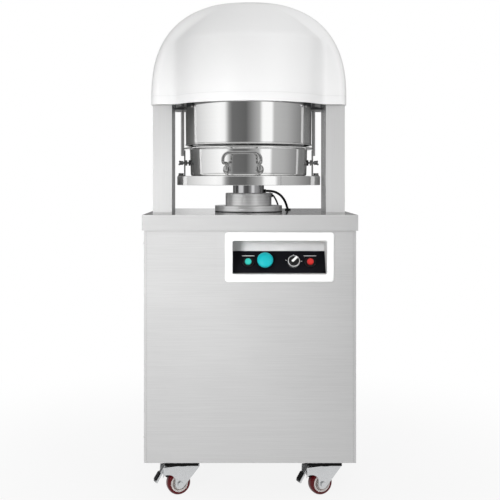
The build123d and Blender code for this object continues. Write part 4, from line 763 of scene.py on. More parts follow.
def sweep(path: np.ndarray, wide: Union[float, np.ndarray], deep: Union[float, np.ndarray], lean: Point,
          sides: int = 20, power: float = 2.0) -> np.ndarray:
    """A closed bar: a superellipse |a / wide|^p + |b / deep|^p = 1 carried along a path.

    Args:
        path: Points of the path.
        wide: Half width across the lean, one or one a point.
        deep: Half depth along the lean, one or one a point.
        lean: Direction that no part of the path runs along.
        sides: Points round the section.
        power: The superellipse's power.

    Returns:
        Grid of points along and round the bar, closed by a pole at each end.
    """
    path = np.concatenate([path[:1], path, path[-1:]])
    inner = np.gradient(path[1:-1], axis=0)
    along = np.concatenate([inner[:1], inner, inner[-1:]])
    along /= np.linalg.norm(along, axis=1, keepdims=True)
    across = np.cross(along, np.asarray(lean, float))
    across /= np.linalg.norm(across, axis=1, keepdims=True)
    up = np.cross(across, along)
    t = np.linspace(0, 2 * math.pi, sides, endpoint=False)
    a = np.sign(np.cos(t)) * np.abs(np.cos(t)) ** (2 / power)
    b = np.sign(np.sin(t)) * np.abs(np.sin(t)) ** (2 / power)
    ends = np.ones(len(path))
    ends[[0, -1]] = 0
    wide = np.broadcast_to(wide, len(path) - 2)
    deep = np.broadcast_to(deep, len(path) - 2)
    w = np.concatenate([wide[:1], wide, wide[-1:]]) * ends
    d = np.concatenate([deep[:1], deep, deep[-1:]]) * ends
    ring = (w[:, None] * a)[..., None] * across[:, None] + (d[:, None] * b)[..., None] * up[:, None]
    return path[:, None] + ring


def turned_to(grid: np.ndarray, origin: Point, axis: Point, beside: Point) -> np.ndarray:
    """Move a grid made about the Z axis onto another axis.

    Args:
        grid: Points about the Z axis.
        origin: Where its origin goes.
        axis: Where its Z axis points.
        beside: Where its X axis points, near enough.

    Returns:
        The moved points.
    """
    z = np.asarray(axis, float) / np.linalg.norm(axis)
    x = np.asarray(beside, float) - z * (np.asarray(beside, float) @ z)
    x /= np.linalg.norm(x)
    return np.asarray(origin) + grid @ np.stack([x, np.cross(z, x), z])


def turned_by(grid: np.ndarray, angle: float) -> np.ndarray:
    """Points turned about the Z axis: (x cos t - y sin t, x sin t + y cos t, z)."""
    c, s = math.cos(angle), math.sin(angle)
    return grid @ np.array([[c, s, 0], [-s, c, 0], [0, 0, 1]])


def bearing_line(angle: float) -> np.ndarray:
    """Direction at an angle from the Y axis towards the X axis: (sin t, cos t, 0)."""
    return np.array([math.sin(angle), math.cos(angle), 0.0])


def rectangle_loop(half_x: float, half_z: float, corner: float, steps: int = 8) -> np.ndarray:
    """A rectangle with round corners, as four quarter circles that follow each other.

    Args:
        half_x: Half its width.
        half_z: Half its height.
        corner: Radius of its corners.
        steps: Points on each corner.

    Returns:
        Points round the loop in two dimensions.
    """
    quarter = np.linspace(0, math.pi / 2, steps)
    angle = (np.arange(4)[:, None] * math.pi / 2 + quarter).reshape(-1)
    sign_x = np.repeat([1, -1, -1, 1], steps)
    sign_z = np.repeat([1, 1, -1, -1], steps)
    x = sign_x * (half_x - corner) + corner * np.cos(angle)
    z = sign_z * (half_z - corner) + corner * np.sin(angle)
    return np.stack([x, z], axis=-1)


@dataclass(frozen=True)
class Lamp:
    """A soft lamp whose light fades away from the point it faces; its spread is its whole cone in degrees."""

    name: str
    at: Point
    to: Point
    spread: float
    watts: float
    size: float = 0.5

    def build(self) -> None:
        """Set the lamp up, out of sight of the camera and of reflections."""
        data = bpy.data.lights.new(self.name, "SPOT")
        data.shadow_soft_size = self.size
        data.spot_size = math.radians(self.spread)
        data.spot_blend = 1.0
        data.energy = self.watts
        lamp = bpy.data.objects.new(self.name, data)
        lamp.location = self.at
        lamp.visible_glossy = False
        lamp.visible_camera = False
        x, y, z = np.asarray(self.to) - np.asarray(self.at)
        lamp.rotation_euler = (math.atan2(math.hypot(x, y), -z), 0, math.atan2(y, x) - math.pi / 2)
        bpy.context.scene.collection.objects.link(lamp)


@dataclass
class Studio:
    """White studio: camera, pale floor, soft lamps and a world whose soft boxes show in reflections only.

    A soft box's tone stands at each bearing from the operator's side, -180 to 180 degrees.
    """

    eye: Point = (-0.038, -2.415, 0.819)
    focal_pixels: float = 859.0
    principal: tuple[float, float] = (235.0, 180.0)
    pixels: float = 500.0
    sensor: float = 36.0
    far_clip: float = 60.0
    floor_half: float = 4.0
    floor_tone: float = 0.8
    shadow_reach: float = 0.9
    shadow_fade: float = 0.6
    shadow_glow: float = 0.88
    mirror_reach: float = 1.4
    mirror_fade: float = 0.9
    level: float = 0.60
    overhead: tuple[float, float] = (0.5, 0.4)
    overhead_loss: float = 0.06
    roof: tuple[float, float] = (0.62, 0.2)
    roof_tone: float = 0.95
    skyline: tuple[float, float] = (-0.085, 0.035)
    ground_tone: float = 0.22
    soft_boxes: tuple[tuple[float, float], ...] = (
        (-180, 1.0), (-176.5, 0.9), (-174.5, 0.3), (-171, 0.2), (-165, 0.03), (-134, 0.02), (-128, 0.25),
        (-112, 0.62), (-55, 1.0), (-44, 0.95), (-36, 0.3), (-30, 0.15), (-5, 0.12), (19, 0.45), (24, 0.95),
        (27, 1.0), (41, 1.0), (46, 0.5), (72, 0.42), (92, 0.3), (124, 0.15), (134, 0.03), (165, 0.03),
        (172, 0.36), (180, 0.36))
    lamps: tuple[Lamp, ...] = (
        Lamp("key_lamp", (-1.0, -1.9, 0.85), (-0.24, -0.25, 0.62), 29.0, 320.0),
        Lamp("hood_lamp", (1.5, -1.9, 1.7), (0.16, -0.1, 1.04), 48.0, 84.0))

    def camera(self) -> None:
        """A level camera that looks along +Y, shifted to the photograph's principal point."""
        data = bpy.data.cameras.new("camera")
        data.sensor_width = self.sensor
        data.lens = self.focal_pixels / self.pixels * self.sensor
        data.shift_x = 0.5 - self.principal[0] / self.pixels
        data.shift_y = self.principal[1] / self.pixels - 0.5
        data.clip_end = self.far_clip
        camera = bpy.data.objects.new("camera", data)
        camera.location = self.eye
        camera.rotation_euler = (math.pi / 2, 0, 0)
        bpy.context.scene.collection.objects.link(camera)
        bpy.context.scene.camera = camera

    def floor(self) -> None:
        """A pale floor that the camera sees as nearly white, with the machine's soft shadow on it."""
        half = self.floor_half
        corners = [(-half, -half, 0), (half, -half, 0), (half, half, 0), (-half, half, 0)]
        mesh = bpy.data.meshes.new("floor")
        mesh.from_pydata(corners, [], [(0, 1, 2, 3)])
        floor = bpy.data.objects.new("floor", mesh)
        bpy.context.scene.collection.objects.link(floor)
        shader = Shader("floor_white")
        plain = shader.node("ShaderNodeBsdfDiffuse", {}, {"Color": grey(self.floor_tone)})
        glow = shader.node("ShaderNodeEmission", {}, {"Color": grey(1.0), "Strength": 1.0})
        direct, glossy = shader.rays()
        x, y, _ = shader.axes(shader.place)
        distance = (x * x + y * y) ** 0.5
        away = distance.above(self.shadow_reach, self.shadow_reach * self.shadow_fade)
        mirrored = glossy * (1 - distance.above(self.mirror_reach, self.mirror_fade))
        seen = (direct + mirrored) * (self.shadow_glow + away * (1 - self.shadow_glow))
        mixed = shader.node("ShaderNodeMixShader", {}, {0: seen, 1: plain.outputs[0], 2: glow.outputs[0]})
        shader.node("ShaderNodeOutputMaterial", {}, {0: mixed.outputs[0]})
        mesh.materials.append(shader.material)

    def world(self) -> None:
        """Even light, white behind the machine, and soft boxes with dark gaps for glossy rays."""
        world = bpy.data.worlds.new("studio")
        world.use_nodes = True
        bpy.context.scene.world = world
        tree = Tree(world.node_tree)
        ray = tree.node("ShaderNodeTexCoord").outputs["Generated"]
        x, y, z = tree.axes(ray)
        bearing = x.math("ARCTAN2", x, y * -1.0) / (2 * math.pi) + 0.5
        stops = [((angle + 180) / 360, tone) for angle, tone in self.soft_boxes]
        bands = tree.node("ShaderNodeValToRGB", {"stops": stops}, {0: bearing})
        above = tree.blend(z.above(*self.roof), bands.outputs[0], grey(self.roof_tone))
        boxes = tree.blend(z.above(*self.skyline), grey(self.ground_tone), above)
        direct, glossy = tree.rays()
        level = self.level - z.above(*self.overhead) * self.overhead_loss
        even = tree.node("ShaderNodeBackground", {}, {0: grey(1.0), 1: level})
        shown = tree.node("ShaderNodeBackground", {}, {0: boxes, 1: 1.0})
        white = tree.node("ShaderNodeBackground", {}, {0: grey(1.0), 1: 1.0})
        lit = tree.node("ShaderNodeMixShader", {}, {0: glossy, 1: even.outputs[0], 2: shown.outputs[0]})
        whole = tree.node("ShaderNodeMixShader", {}, {0: direct, 1: lit.outputs[0], 2: white.outputs[0]})
        tree.node("ShaderNodeOutputWorld", {}, {0: whole.outputs[0]})

    def build(self) -> None:
        """Set up the whole studio."""
        bpy.context.scene.view_settings.view_transform = "Standard"
        self.camera()
        self.floor()
        self.world()
        for lamp in self.lamps:
            lamp.build()


@dataclass
class SensorCables:
    """The two black sensor cables that run from the ram's collar down into the table."""

    thick: tuple[Point, ...] = (
        (0.0464, 0.0389, 0.788), (0.070, 0.059, 0.788), (0.092, 0.080, 0.778), (0.107, 0.101, 0.761),
        (0.115, 0.117, 0.742), (0.118, 0.125, 0.731))
    thin: tuple[Point, ...] = (
        (0.0633, 0.0311, 0.7795), (0.071, 0.056, 0.776), (0.080, 0.086, 0.764), (0.088, 0.113, 0.748),
        (0.093, 0.132, 0.731))
    thick_diameter: float = 0.007
    thin_diameter: float = 0.005
    thick_length: float = 0.133
    thin_length: float = 0.118

    def cable(self, name: str, route: Sequence[Point], diameter: float, length: float, replaced: str) -> None:
        """One cable as a smooth spline with the route's points as its control points.

        Args:
            name: The piece's name.
            route: Points from the sensor to the grommet.
            diameter: The cable's diameter.
            length: Its length; not used.
            replaced: The CAD node that it stands for.
        """
        curve = bpy.data.curves.new(name, "CURVE")
        curve.dimensions = "3D"
        curve.bevel_depth = diameter / 2
        curve.bevel_resolution = 6
        curve.resolution_u = 24
        curve.use_fill_caps = True
        spline = curve.splines.new("NURBS")
        spline.points.add(len(route) - 1)
        spline.points.foreach_set("co", np.hstack([np.asarray(route), np.ones((len(route), 1))]).ravel())
        spline.order_u = 3
        spline.use_endpoint_u = True
        cable = bpy.data.objects.new(name, curve)
        bpy.context.scene.collection.objects.link(cable)
        CABLE_BLACK.dress(cable)
        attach(cable, "cabinet")
        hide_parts(replaced)
        LOG.info("%s: %d route points", name, len(route))

    def build(self) -> None:
        """Lay both cables and dress what they run between."""
        self.cable("thick_cable", self.thick, self.thick_diameter, self.thick_length, "thick_sensor_cable")
        self.cable("thin_cable", self.thin, self.thin_diameter, self.thin_length, "thin_sensor_cable")
        SWITCH_BLACK.dress_nodes("ram_sensors")
        BLACK_RUBBER.dress_nodes("cable_grommets")


def smooth_most(parts: Sequence[np.ndarray], soft: float) -> np.ndarray:
    """Largest of several distances with rounded joins: soft log sum exp(part / soft).

    Args:
        parts: The distances.
        soft: Size of the joins.

    Returns:
        The joined distance.
    """
    stack = np.stack(np.broadcast_arrays(*parts))
    peak = stack.max(axis=0)
    return peak + soft * np.log(np.exp((stack - peak) / soft).sum(axis=0))


def round_most(first: np.ndarray, second: np.ndarray, radius: float) -> np.ndarray:
    """Larger of two distances with a circular edge.

    The distance is |max((a + r, b + r), 0)| + min(max(a + r, b + r), 0) - r.

    Args:
        first: One distance, a.
        second: The other, b.
        radius: The edge's radius, r.

    Returns:
        The joined distance.
    """
    a = first + radius
    b = second + radius
    outside = np.hypot(np.maximum(a, 0), np.maximum(b, 0))
    return outside + np.minimum(np.maximum(a, b), 0) - radius


def soft_least(first: np.ndarray, second: np.ndarray, reach: float) -> np.ndarray:
    """Smaller of two distances with a filled valley.

    The distance is min(a, b) - r h^2 / 4 with h = max(1 - |a - b| / r, 0).
    """
    near = np.maximum(1 - np.abs(first - second) / reach, 0)
    return np.minimum(first, second) - reach * near**2 / 4


@dataclass
class Hood:
    """Moulded white hood: a squared arch with a bowed front that is drawn in to a crest."""

    half: float = 0.2680
    arch: float = 1.039
    rise: float = 0.2668
    squareness: float = 2.5
    front: float = -0.075
    back: float = 0.195
    front_round: float = 0.024
    back_round: float = 0.040
    tip: float = -0.190
    edge: float = 0.174
    edge_y: float = -0.119
    flare: float = 0.204
    corner: float = 1.200
    crest: float = 0.088
    crest_drop: float = 0.005
    crest_front: float = 0.006
    bulge_back: float = -0.01
    soft: float = 0.0035
    valley: float = 0.012
    wall: float = 0.004
    middle: Point = (0.0, 0.02, 1.025)
    columns: int = 480
    rows: int = 176
    inner_rows: int = 14
    ray: float = 0.6
    halvings: int = 36
    rim_samples: int = 6001
    rim_tilt: float = 0.05
    turn_weight: float = 0.02

    def ring(self, x: np.ndarray, z: np.ndarray) -> np.ndarray:
        """Distance outside the arch: (|x/a|^n + |z/b|^n)^(1/n) - 1, times a.

        Args:
            x: Places across the machine.
            z: Heights.

        Returns:
            The distance, negative inside.
        """
        up = np.maximum(z - self.arch, 0) / self.rise
        share = (np.abs(x / self.half) ** self.squareness + up**self.squareness) ** (1 / self.squareness)
        return (share - 1) * self.half

    def vault(self, x: np.ndarray, y: np.ndarray, z: np.ndarray) -> np.ndarray:
        """Distance outside the arch between its front and back, with round edges."""
        open_back = round_most(self.ring(x, z), self.front - y, self.front_round)
        return round_most(open_back, y - self.back, self.back_round)

    def bulge(self, x: np.ndarray, y: np.ndarray, z: np.ndarray) -> np.ndarray:
        """Distance outside the bowed front.

        It is the largest of the distances outside a bow, two flanks, a roof and shoulders that lean in, the
        arch and a plane behind, with rounded joins.

        Args:
            x: Places across the machine.
            y: Places from its front to its back.
            z: Heights.

        Returns:
            The distance, negative inside.
        """
        depth = self.edge_y - self.tip
        bow_radius = (self.edge**2 + depth**2) / (2 * depth)
        bow = np.hypot(x, y - self.tip - bow_radius) - bow_radius
        run = np.array([self.flare - self.edge, self.front - self.edge_y])
        out = np.array([run[1], -run[0]]) / np.hypot(*run)
        flank = (np.abs(x) - self.edge) * out[0] + (y - self.edge_y) * out[1]
        rise = self.arch + self.rise - self.corner
        inward = self.front - self.crest_front - self.tip
        roof = (bow * rise + (z - self.corner) * inward) / math.hypot(rise, inward)
        lean = (self.flare - self.crest) * out[0]
        shoulder = (flank * rise + (z - self.corner) * lean) / math.hypot(rise, lean)
        under_arch = self.ring(x, z) + self.crest_drop
        return smooth_most([bow, flank, roof, shoulder, under_arch, y - self.bulge_back], self.soft)

    def outside(self, x: np.ndarray, y: np.ndarray, z: np.ndarray) -> np.ndarray:
        """Distance outside the whole hood, with a soft valley where the front meets the arch."""
        return soft_least(self.vault(x, y, z), self.bulge(x, y, z), self.valley)

    def shell(self, around: np.ndarray, tilt: np.ndarray, inset: float) -> np.ndarray:
        """Points where rays from the middle of the rim's plane reach a depth under the surface.

        Each is found by halving the ray between a point inside and one outside.

        Args:
            around: Bearings of the rays.
            tilt: Their angles above the rim's plane.
            inset: Depth under the outer surface.

        Returns:
            Grid of points on the tilt and on the bearing.
        """
        tilt = tilt[:, None]
        flat = np.cos(tilt)
        ray = np.stack(np.broadcast_arrays(flat * np.cos(around), flat * np.sin(around), np.sin(tilt)))
        start = np.asarray(self.middle)[:, None, None]
        low = np.zeros(ray.shape[1:])
        high = np.full(ray.shape[1:], self.ray)
        for _ in range(self.halvings):
            between = (low + high) / 2
            inside = self.outside(*(start + between * ray)) < -inset
            low = np.where(inside, between, low)
            high = np.where(inside, high, between)
        return np.moveaxis(start + low * ray, 0, -1)

    def bearings(self) -> np.ndarray:
        """Bearings that share out the rim's length, closer where the rim turns: steps of |dp| + w |dn|.

        Returns:
            The bearings, one for each column of the shell.
        """
        around = np.linspace(0, 2 * math.pi, self.rim_samples)
        rim = self.shell(around, np.array([self.rim_tilt]), 0.0)[0]
        step = np.diff(rim, axis=0)
        length = np.linalg.norm(step, axis=1)
        turn = np.linalg.norm(np.diff(step / length[:, None], axis=0, append=0), axis=1)
        turn[-1] = 0
        travel = np.concatenate([[0.0], np.cumsum(length + self.turn_weight * turn)])
        return np.interp(np.linspace(0, travel[-1], self.columns, endpoint=False), travel, around)

    def build(self) -> None:
        """Make the shell: an outer skin from the top to the rim and an inner one back to the top."""
        around = self.bearings()
        outer = self.shell(around, np.linspace(math.pi / 2, 0, self.rows), 0.0)
        inner = self.shell(around, np.linspace(0, math.pi / 2, self.inner_rows), self.wall)
        outer[0] = outer[0].mean(axis=0)
        inner[-1] = inner[-1].mean(axis=0)
        piece = Piece("hood_shell", "cabinet", WHITE_HOOD, "white_moulding", crease=60.0)
        piece.add(np.concatenate([outer, inner])).make("hood")


@dataclass
class GuardBowl:
    """Polished floating bowl over the pan, with its rolled edge, lugs and rivets."""

    top_radius: float = 0.177
    foot_radius: float = 0.1755
    bottom: float = 0.914
    top: float = 1.038
    wall: float = 0.002
    bead: float = 0.0025
    lug_z: float = 1.0293
    lug_half: tuple[float, float] = (0.012, 0.004)
    guide: tuple[float, float] = (0.191, 0.092)
    guide_past: float = 0.011
    lug_sunk: float = 0.001
    lip: float = 0.0009
    roll: tuple[float, float] = (55.0, -235.0)
    rivet_angles: tuple[float, float] = (-28.5, 53.5)
    rivet_z: float = 1.0195
    rivet: float = 0.0042
    rivet_rise: float = 0.0016
    rivet_foot: float = -0.0006
    rivet_sunk: float = 0.0002

    def shell(self) -> np.ndarray:
        """Wall and rolled edge as one closed profile turned about the ram axis.

        Returns:
            Grid of points on the outline and on the angle.
        """
        bead_r = self.foot_radius - self.wall / 2
        bead_z = self.bottom + self.bead
        t = np.linspace(math.radians(self.roll[0]), math.radians(self.roll[1]), 22)
        roll = np.stack([bead_r + self.bead * np.cos(t), bead_z + self.bead * np.sin(t)], axis=-1)
        above = self.bottom + 2 * self.bead
        lip = rounded([(self.foot_radius, above, 0), (self.top_radius, self.top, self.lip),
                       (self.top_radius - self.wall, self.top, self.lip),
                       (self.foot_radius - self.wall, above, 0)])
        outline = np.concatenate([lip[::-1], roll, lip[-1:]])
        return turn_about(outline, 256)

    def lug(self, side: Side) -> np.ndarray:
        """A flat bar from the wall out past the guide rod.

        Args:
            side: The side that it is on.

        Returns:
            Grid of points along and round the bar.
        """
        x, y = side.value * self.guide[0], self.guide[1]
        reach = math.hypot(x, y)
        first = (self.top_radius - self.lug_sunk) / reach
        share = np.linspace(first, 1 + self.guide_past / reach, 8)[:, None]
        path = share * np.array([x, y, 0]) + np.array([0, 0, self.lug_z])
        return sweep(path, self.lug_half[0], self.lug_half[1], (0, 0, 1), 32, 6.0)

    def rivets(self) -> None:
        """Four domed rivets on the wall below its top edge."""
        rivets = Piece("bowl_rivets", "guard", SCREW_STEEL, "bright_steel")
        dome = lathe([(0.0, self.rivet_rise, 0), (self.rivet * 0.6, self.rivet_rise - 0.0002, 0.001),
                      (self.rivet, 0.0, 0.0002), (self.rivet, self.rivet_foot, 0),
                      (0.0, self.rivet_foot, 0)], 24)
        radius = self.top_radius - self.rivet_sunk
        for degrees in self.rivet_angles:
            for angle in (math.radians(degrees), math.radians(180 - degrees)):
                out = (math.cos(angle), math.sin(angle), 0.0)
                at = (radius * out[0], radius * out[1], self.rivet_z)
                rivets.add(turned_to(dome, at, out, (0, 0, 1)))
        rivets.make()

    def build(self) -> None:
        """Make the bowl, its two lugs and four rivets."""
        bowl = Piece("bowl_shell", "guard", BOWL_STEEL, "bright_steel").add(self.shell())
        for side in Side:
            bowl.add(self.lug(side))
        bowl.make("guard_bowl")
        self.rivets()
        ROD_STEEL.dress_nodes("guide_rods")
        BRACKET_GREY.dress_nodes("rod_brackets")


@dataclass
class DoughPan:
    """Round pan with a rolled flange and a bent rod handle on two oval feet."""

    top_radius: float = 0.1645
    foot_radius: float = 0.162
    bottom: float = 0.8303
    height: float = 0.078
    wall: float = 0.002
    floor: float = 0.003
    rim_radius: float = 0.1815
    rim: float = 0.004
    turn: float = math.radians(-6.0)
    rod: float = 0.004
    half: float = 0.0495
    foot_x: float = 0.043
    hook: float = 0.033
    bar: float = 0.060
    reach: float = 0.032
    bend: float = 0.007
    bar_bend: float = 0.018
    rod_gap: float = 0.0003
    pad: tuple[float, float, float] = (0.011, 0.0135, 0.0034)
    pad_middle: float = 0.016
    pad_edge: float = 0.0008
    pad_sunk: float = 0.0002

    def shell(self) -> np.ndarray:
        """Floor, wall and rolled flange as one closed profile turned about the ram axis.

        Returns:
            Grid of points on the outline and on the angle.
        """
        top = self.bottom + self.height
        low = top - self.rim
        floor = self.bottom + self.floor
        return lathe([
            (0.0, self.bottom, 0), (self.foot_radius, self.bottom, 0.006), (self.top_radius, low, 0.003),
            (self.rim_radius, low, 0.0018), (self.rim_radius, top, 0.0018),
            (self.top_radius - self.wall, top, 0.0022), (self.foot_radius - self.wall, floor, 0.006),
            (0.0, floor, 0)], 256, 8)

    def wall_at(self, z: Union[float, np.ndarray]) -> Union[float, np.ndarray]:
        """Outer radius at a height."""
        return self.foot_radius + (self.top_radius - self.foot_radius) * (z - self.bottom) / self.height

    def handle_path(self) -> np.ndarray:
        """The rod's line: up from one foot, out over a hook, up, across and back the same way.

        Returns:
            Points along the line.
        """
        hook_z = self.bottom + self.hook
        bar_z = self.bottom + self.bar
        y = -math.sqrt((self.wall_at(hook_z) + self.rod + self.rod_gap) ** 2 - self.foot_x**2)
        half = [(self.foot_x, y, self.bottom + self.pad_middle), (self.foot_x, y, hook_z),
                (self.half, y - self.reach, hook_z), (self.half, y - self.reach, bar_z)]
        points = half + [(-a, b, c) for a, b, c in reversed(half)]
        radii = [self.bend, self.bend, self.bar_bend]
        return bent_path(points, radii + radii[::-1], 14)

    def foot_pad(self, side: Side) -> np.ndarray:
        """Oval pad on the wall: radius R(z) + h (1 - q^6) + e over the oval's share q from its middle.

        A last ring lies inside the wall, so that the pad's edge is closed.

        Args:
            side: The handle's side that it is on.

        Returns:
            Grid of points on the share and round the oval.
        """
        width, height, thick = self.pad
        q = np.concatenate([np.linspace(0, 1, 14), [1.0]])[:, None]
        t = np.linspace(0, 2 * math.pi, 40, endpoint=False)[None, :]
        s = width * q * np.cos(t)
        z = self.bottom + self.pad_middle + height * q * np.sin(t)
        lift = thick * (1 - q**6) + self.pad_edge
        lift[-1] = -self.pad_sunk
        radius = self.wall_at(z) + lift
        angle = side.value * math.asin(self.foot_x / self.foot_radius) + s / self.foot_radius
        return np.stack([radius * np.sin(angle), -radius * np.cos(angle), z], axis=-1)

    def build(self) -> None:
        """Make the pan and its handle."""
        Piece("pan_shell", "pan", PAN_STEEL, "bright_steel").add(self.shell()).make("dough_pan")
        handle = Piece("pan_rod_handle", "pan", HANDLE_STEEL, "bright_steel")
        rod = sweep(self.handle_path(), self.rod, self.rod, (0.5, 0.6, 0.62), 24)
        for grid in (rod, *map(self.foot_pad, Side)):
            handle.add(turned_by(grid, self.turn))
        handle.make("pan_handle")


@dataclass
class LiftTable:
    """Ram, gland and the round platform with its pan brackets."""

    radius: float = 0.200
    top: float = 0.830
    bottom: float = 0.805
    plate: float = 0.004
    skirt: float = 0.003
    hub: float = 0.060
    ram: float = 0.0435
    piston: tuple[float, float] = (0.0522, 0.020)
    flange: tuple[float, float] = (0.094, 0.015)
    collar: float = 0.0645
    chamfer: float = 0.002
    bore_gap: float = 0.00005
    bore_chamfer: float = 0.0015

    def ram_rod(self) -> np.ndarray:
        """Piston and rod as one closed profile turned about the ram axis.

        Returns:
            Grid of points on the outline and on the angle.
        """
        low, high = (corner[2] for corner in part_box("ram"))
        radius, length = self.piston
        step = low + length
        return lathe([
            (0.0, low, 0), (radius, low, 0.001), (radius, step, 0.001), (self.ram, step, 0.0005),
            (self.ram, high, 0.0012), (0.0, high, 0)], 192, 5)

    def gland(self) -> np.ndarray:
        """Flange and collar with a chamfered bore as one closed profile turned about the ram axis.

        Returns:
            Grid of points on the outline and on the angle.
        """
        low, high = (corner[2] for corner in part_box("ram_gland"))
        wide, thick = self.flange
        step = low + thick
        bore = self.ram + self.bore_gap
        return lathe([
            (bore, low + 0.01, 0), (bore, low, 0.0002), (wide, low, 0.0006), (wide, step, 0.0012),
            (self.collar, step, 0.0016), (self.collar, high - self.chamfer, 0.0006),
            (self.collar - self.chamfer, high, 0.0006), (bore + self.bore_chamfer, high, 0.0004),
            (bore, high - self.bore_chamfer, 0.0004), (bore, low + 0.01, 0)], 192, 5)

    def platform(self) -> np.ndarray:
        """Top plate, skirt and hub as one closed profile turned about the ram axis.

        Returns:
            Grid of points on the outline and on the angle.
        """
        under = self.top - self.plate
        inner = self.radius - self.skirt
        return lathe([
            (0.0, self.top, 0), (self.radius, self.top, 0.0022), (self.radius, self.bottom, 0.0008),
            (inner, self.bottom, 0.0008), (inner, under, 0.002), (self.hub, under, 0.002),
            (self.hub, self.bottom, 0.001), (self.ram, self.bottom, 0.0004), (self.ram, under, 0.0002),
            (0.0, under, 0)], 256, 5)

    def build(self) -> None:
        """Make the platform, ram and gland, and dress the CAD nodes round them."""
        Piece("platform_disc", "lift", PLATFORM_STEEL, "bright_steel").add(self.platform()).make("platform")
        Piece("ram_rod", "lift", RAM_CHROME, "hard_chrome").add(self.ram_rod()).make("ram")
        Piece("gland_ring", "cabinet", GLAND_STEEL, "turned_steel").add(self.gland()).make("ram_gland")
        GLAND_STEEL.dress_nodes("cylinder_barrel")
        BLACK_RUBBER.dress_nodes("flange_gasket")
        HANDLE_STEEL.dress_nodes("pan_brackets")


@dataclass
class WingClamp:
    """Wing screw with its rubber pad, on one side of the pan; lengths run outwards from the pad."""

    side: Side
    height: float = 0.867
    pad_at: float = 0.1638
    hub_at: float = 0.1843
    tip: float = 0.002
    neck: float = 0.003
    neck_end: float = 0.0082
    screw: float = 0.004
    screw_from: float = 0.0088
    hub: float = 0.006
    hub_side: float = 0.009
    hub_end: float = 0.0095
    tilt: float = math.radians(24.0)
    wing_root: tuple[float, float] = (0.002, 0.005)
    wing_span: tuple[float, float] = (0.0125, 0.0055)
    wing_thick: float = 0.0018
    wing_deep: float = 0.0048

    def screw_and_hub(self) -> np.ndarray:
        """Neck, screw and hub as one closed profile turned about the clamp's axis.

        Returns:
            Grid of points on the outline and on the angle.
        """
        hub = self.hub_at - self.pad_at
        return lathe([
            (0.0, self.tip, 0), (self.neck, self.tip, 0.0008), (self.neck, self.neck_end, 0.0001),
            (self.screw, self.screw_from, 0.0003), (self.screw, hub, 0.0001), (self.hub, hub, 0.001),
            (self.hub * 0.85, hub + self.hub_side, 0.003), (0.0, hub + self.hub_end, 0)], 32)

    def wing(self, way: int) -> np.ndarray:
        """A petal over its span's share s: it leans outwards as s^1.4 and swells as a power of a sine.

        Args:
            way: 1 or -1, for the two wings.

        Returns:
            Grid of points along and round the petal.
        """
        s = np.linspace(0, 1, 16)
        aside = way * (self.wing_root[0] + self.wing_span[0] * s)
        outwards = self.hub_at - self.pad_at + self.wing_root[1] + self.wing_span[1] * s**1.4
        path = np.stack([aside, 0 * s, outwards], axis=-1)
        swell = np.sin(math.pi * (0.22 + 0.76 * s)) ** 0.7
        return sweep(path, self.wing_thick * (1 - 0.25 * s), self.wing_deep * swell + 0.0004, (0, 0, 1), 18)

    def build(self) -> None:
        """Make the screw with its two wings and dress its pad."""
        sign = self.side.value
        body = self.side.word + "_wing_screw"
        screw = Piece("wing_screw_" + self.side.word, body, WING_STEEL, "bright_steel")
        origin = (sign * self.pad_at, 0.0, self.height)
        beside = (0.0, math.cos(self.tilt), math.sin(self.tilt))
        for grid in (self.screw_and_hub(), self.wing(-1), self.wing(1)):
            screw.add(turned_to(grid, origin, (sign, 0, 0), beside))
        screw.make(self.side.word + "_wing_screw")
        BLACK_RUBBER.dress_nodes(self.side.word + "_screw_pad")


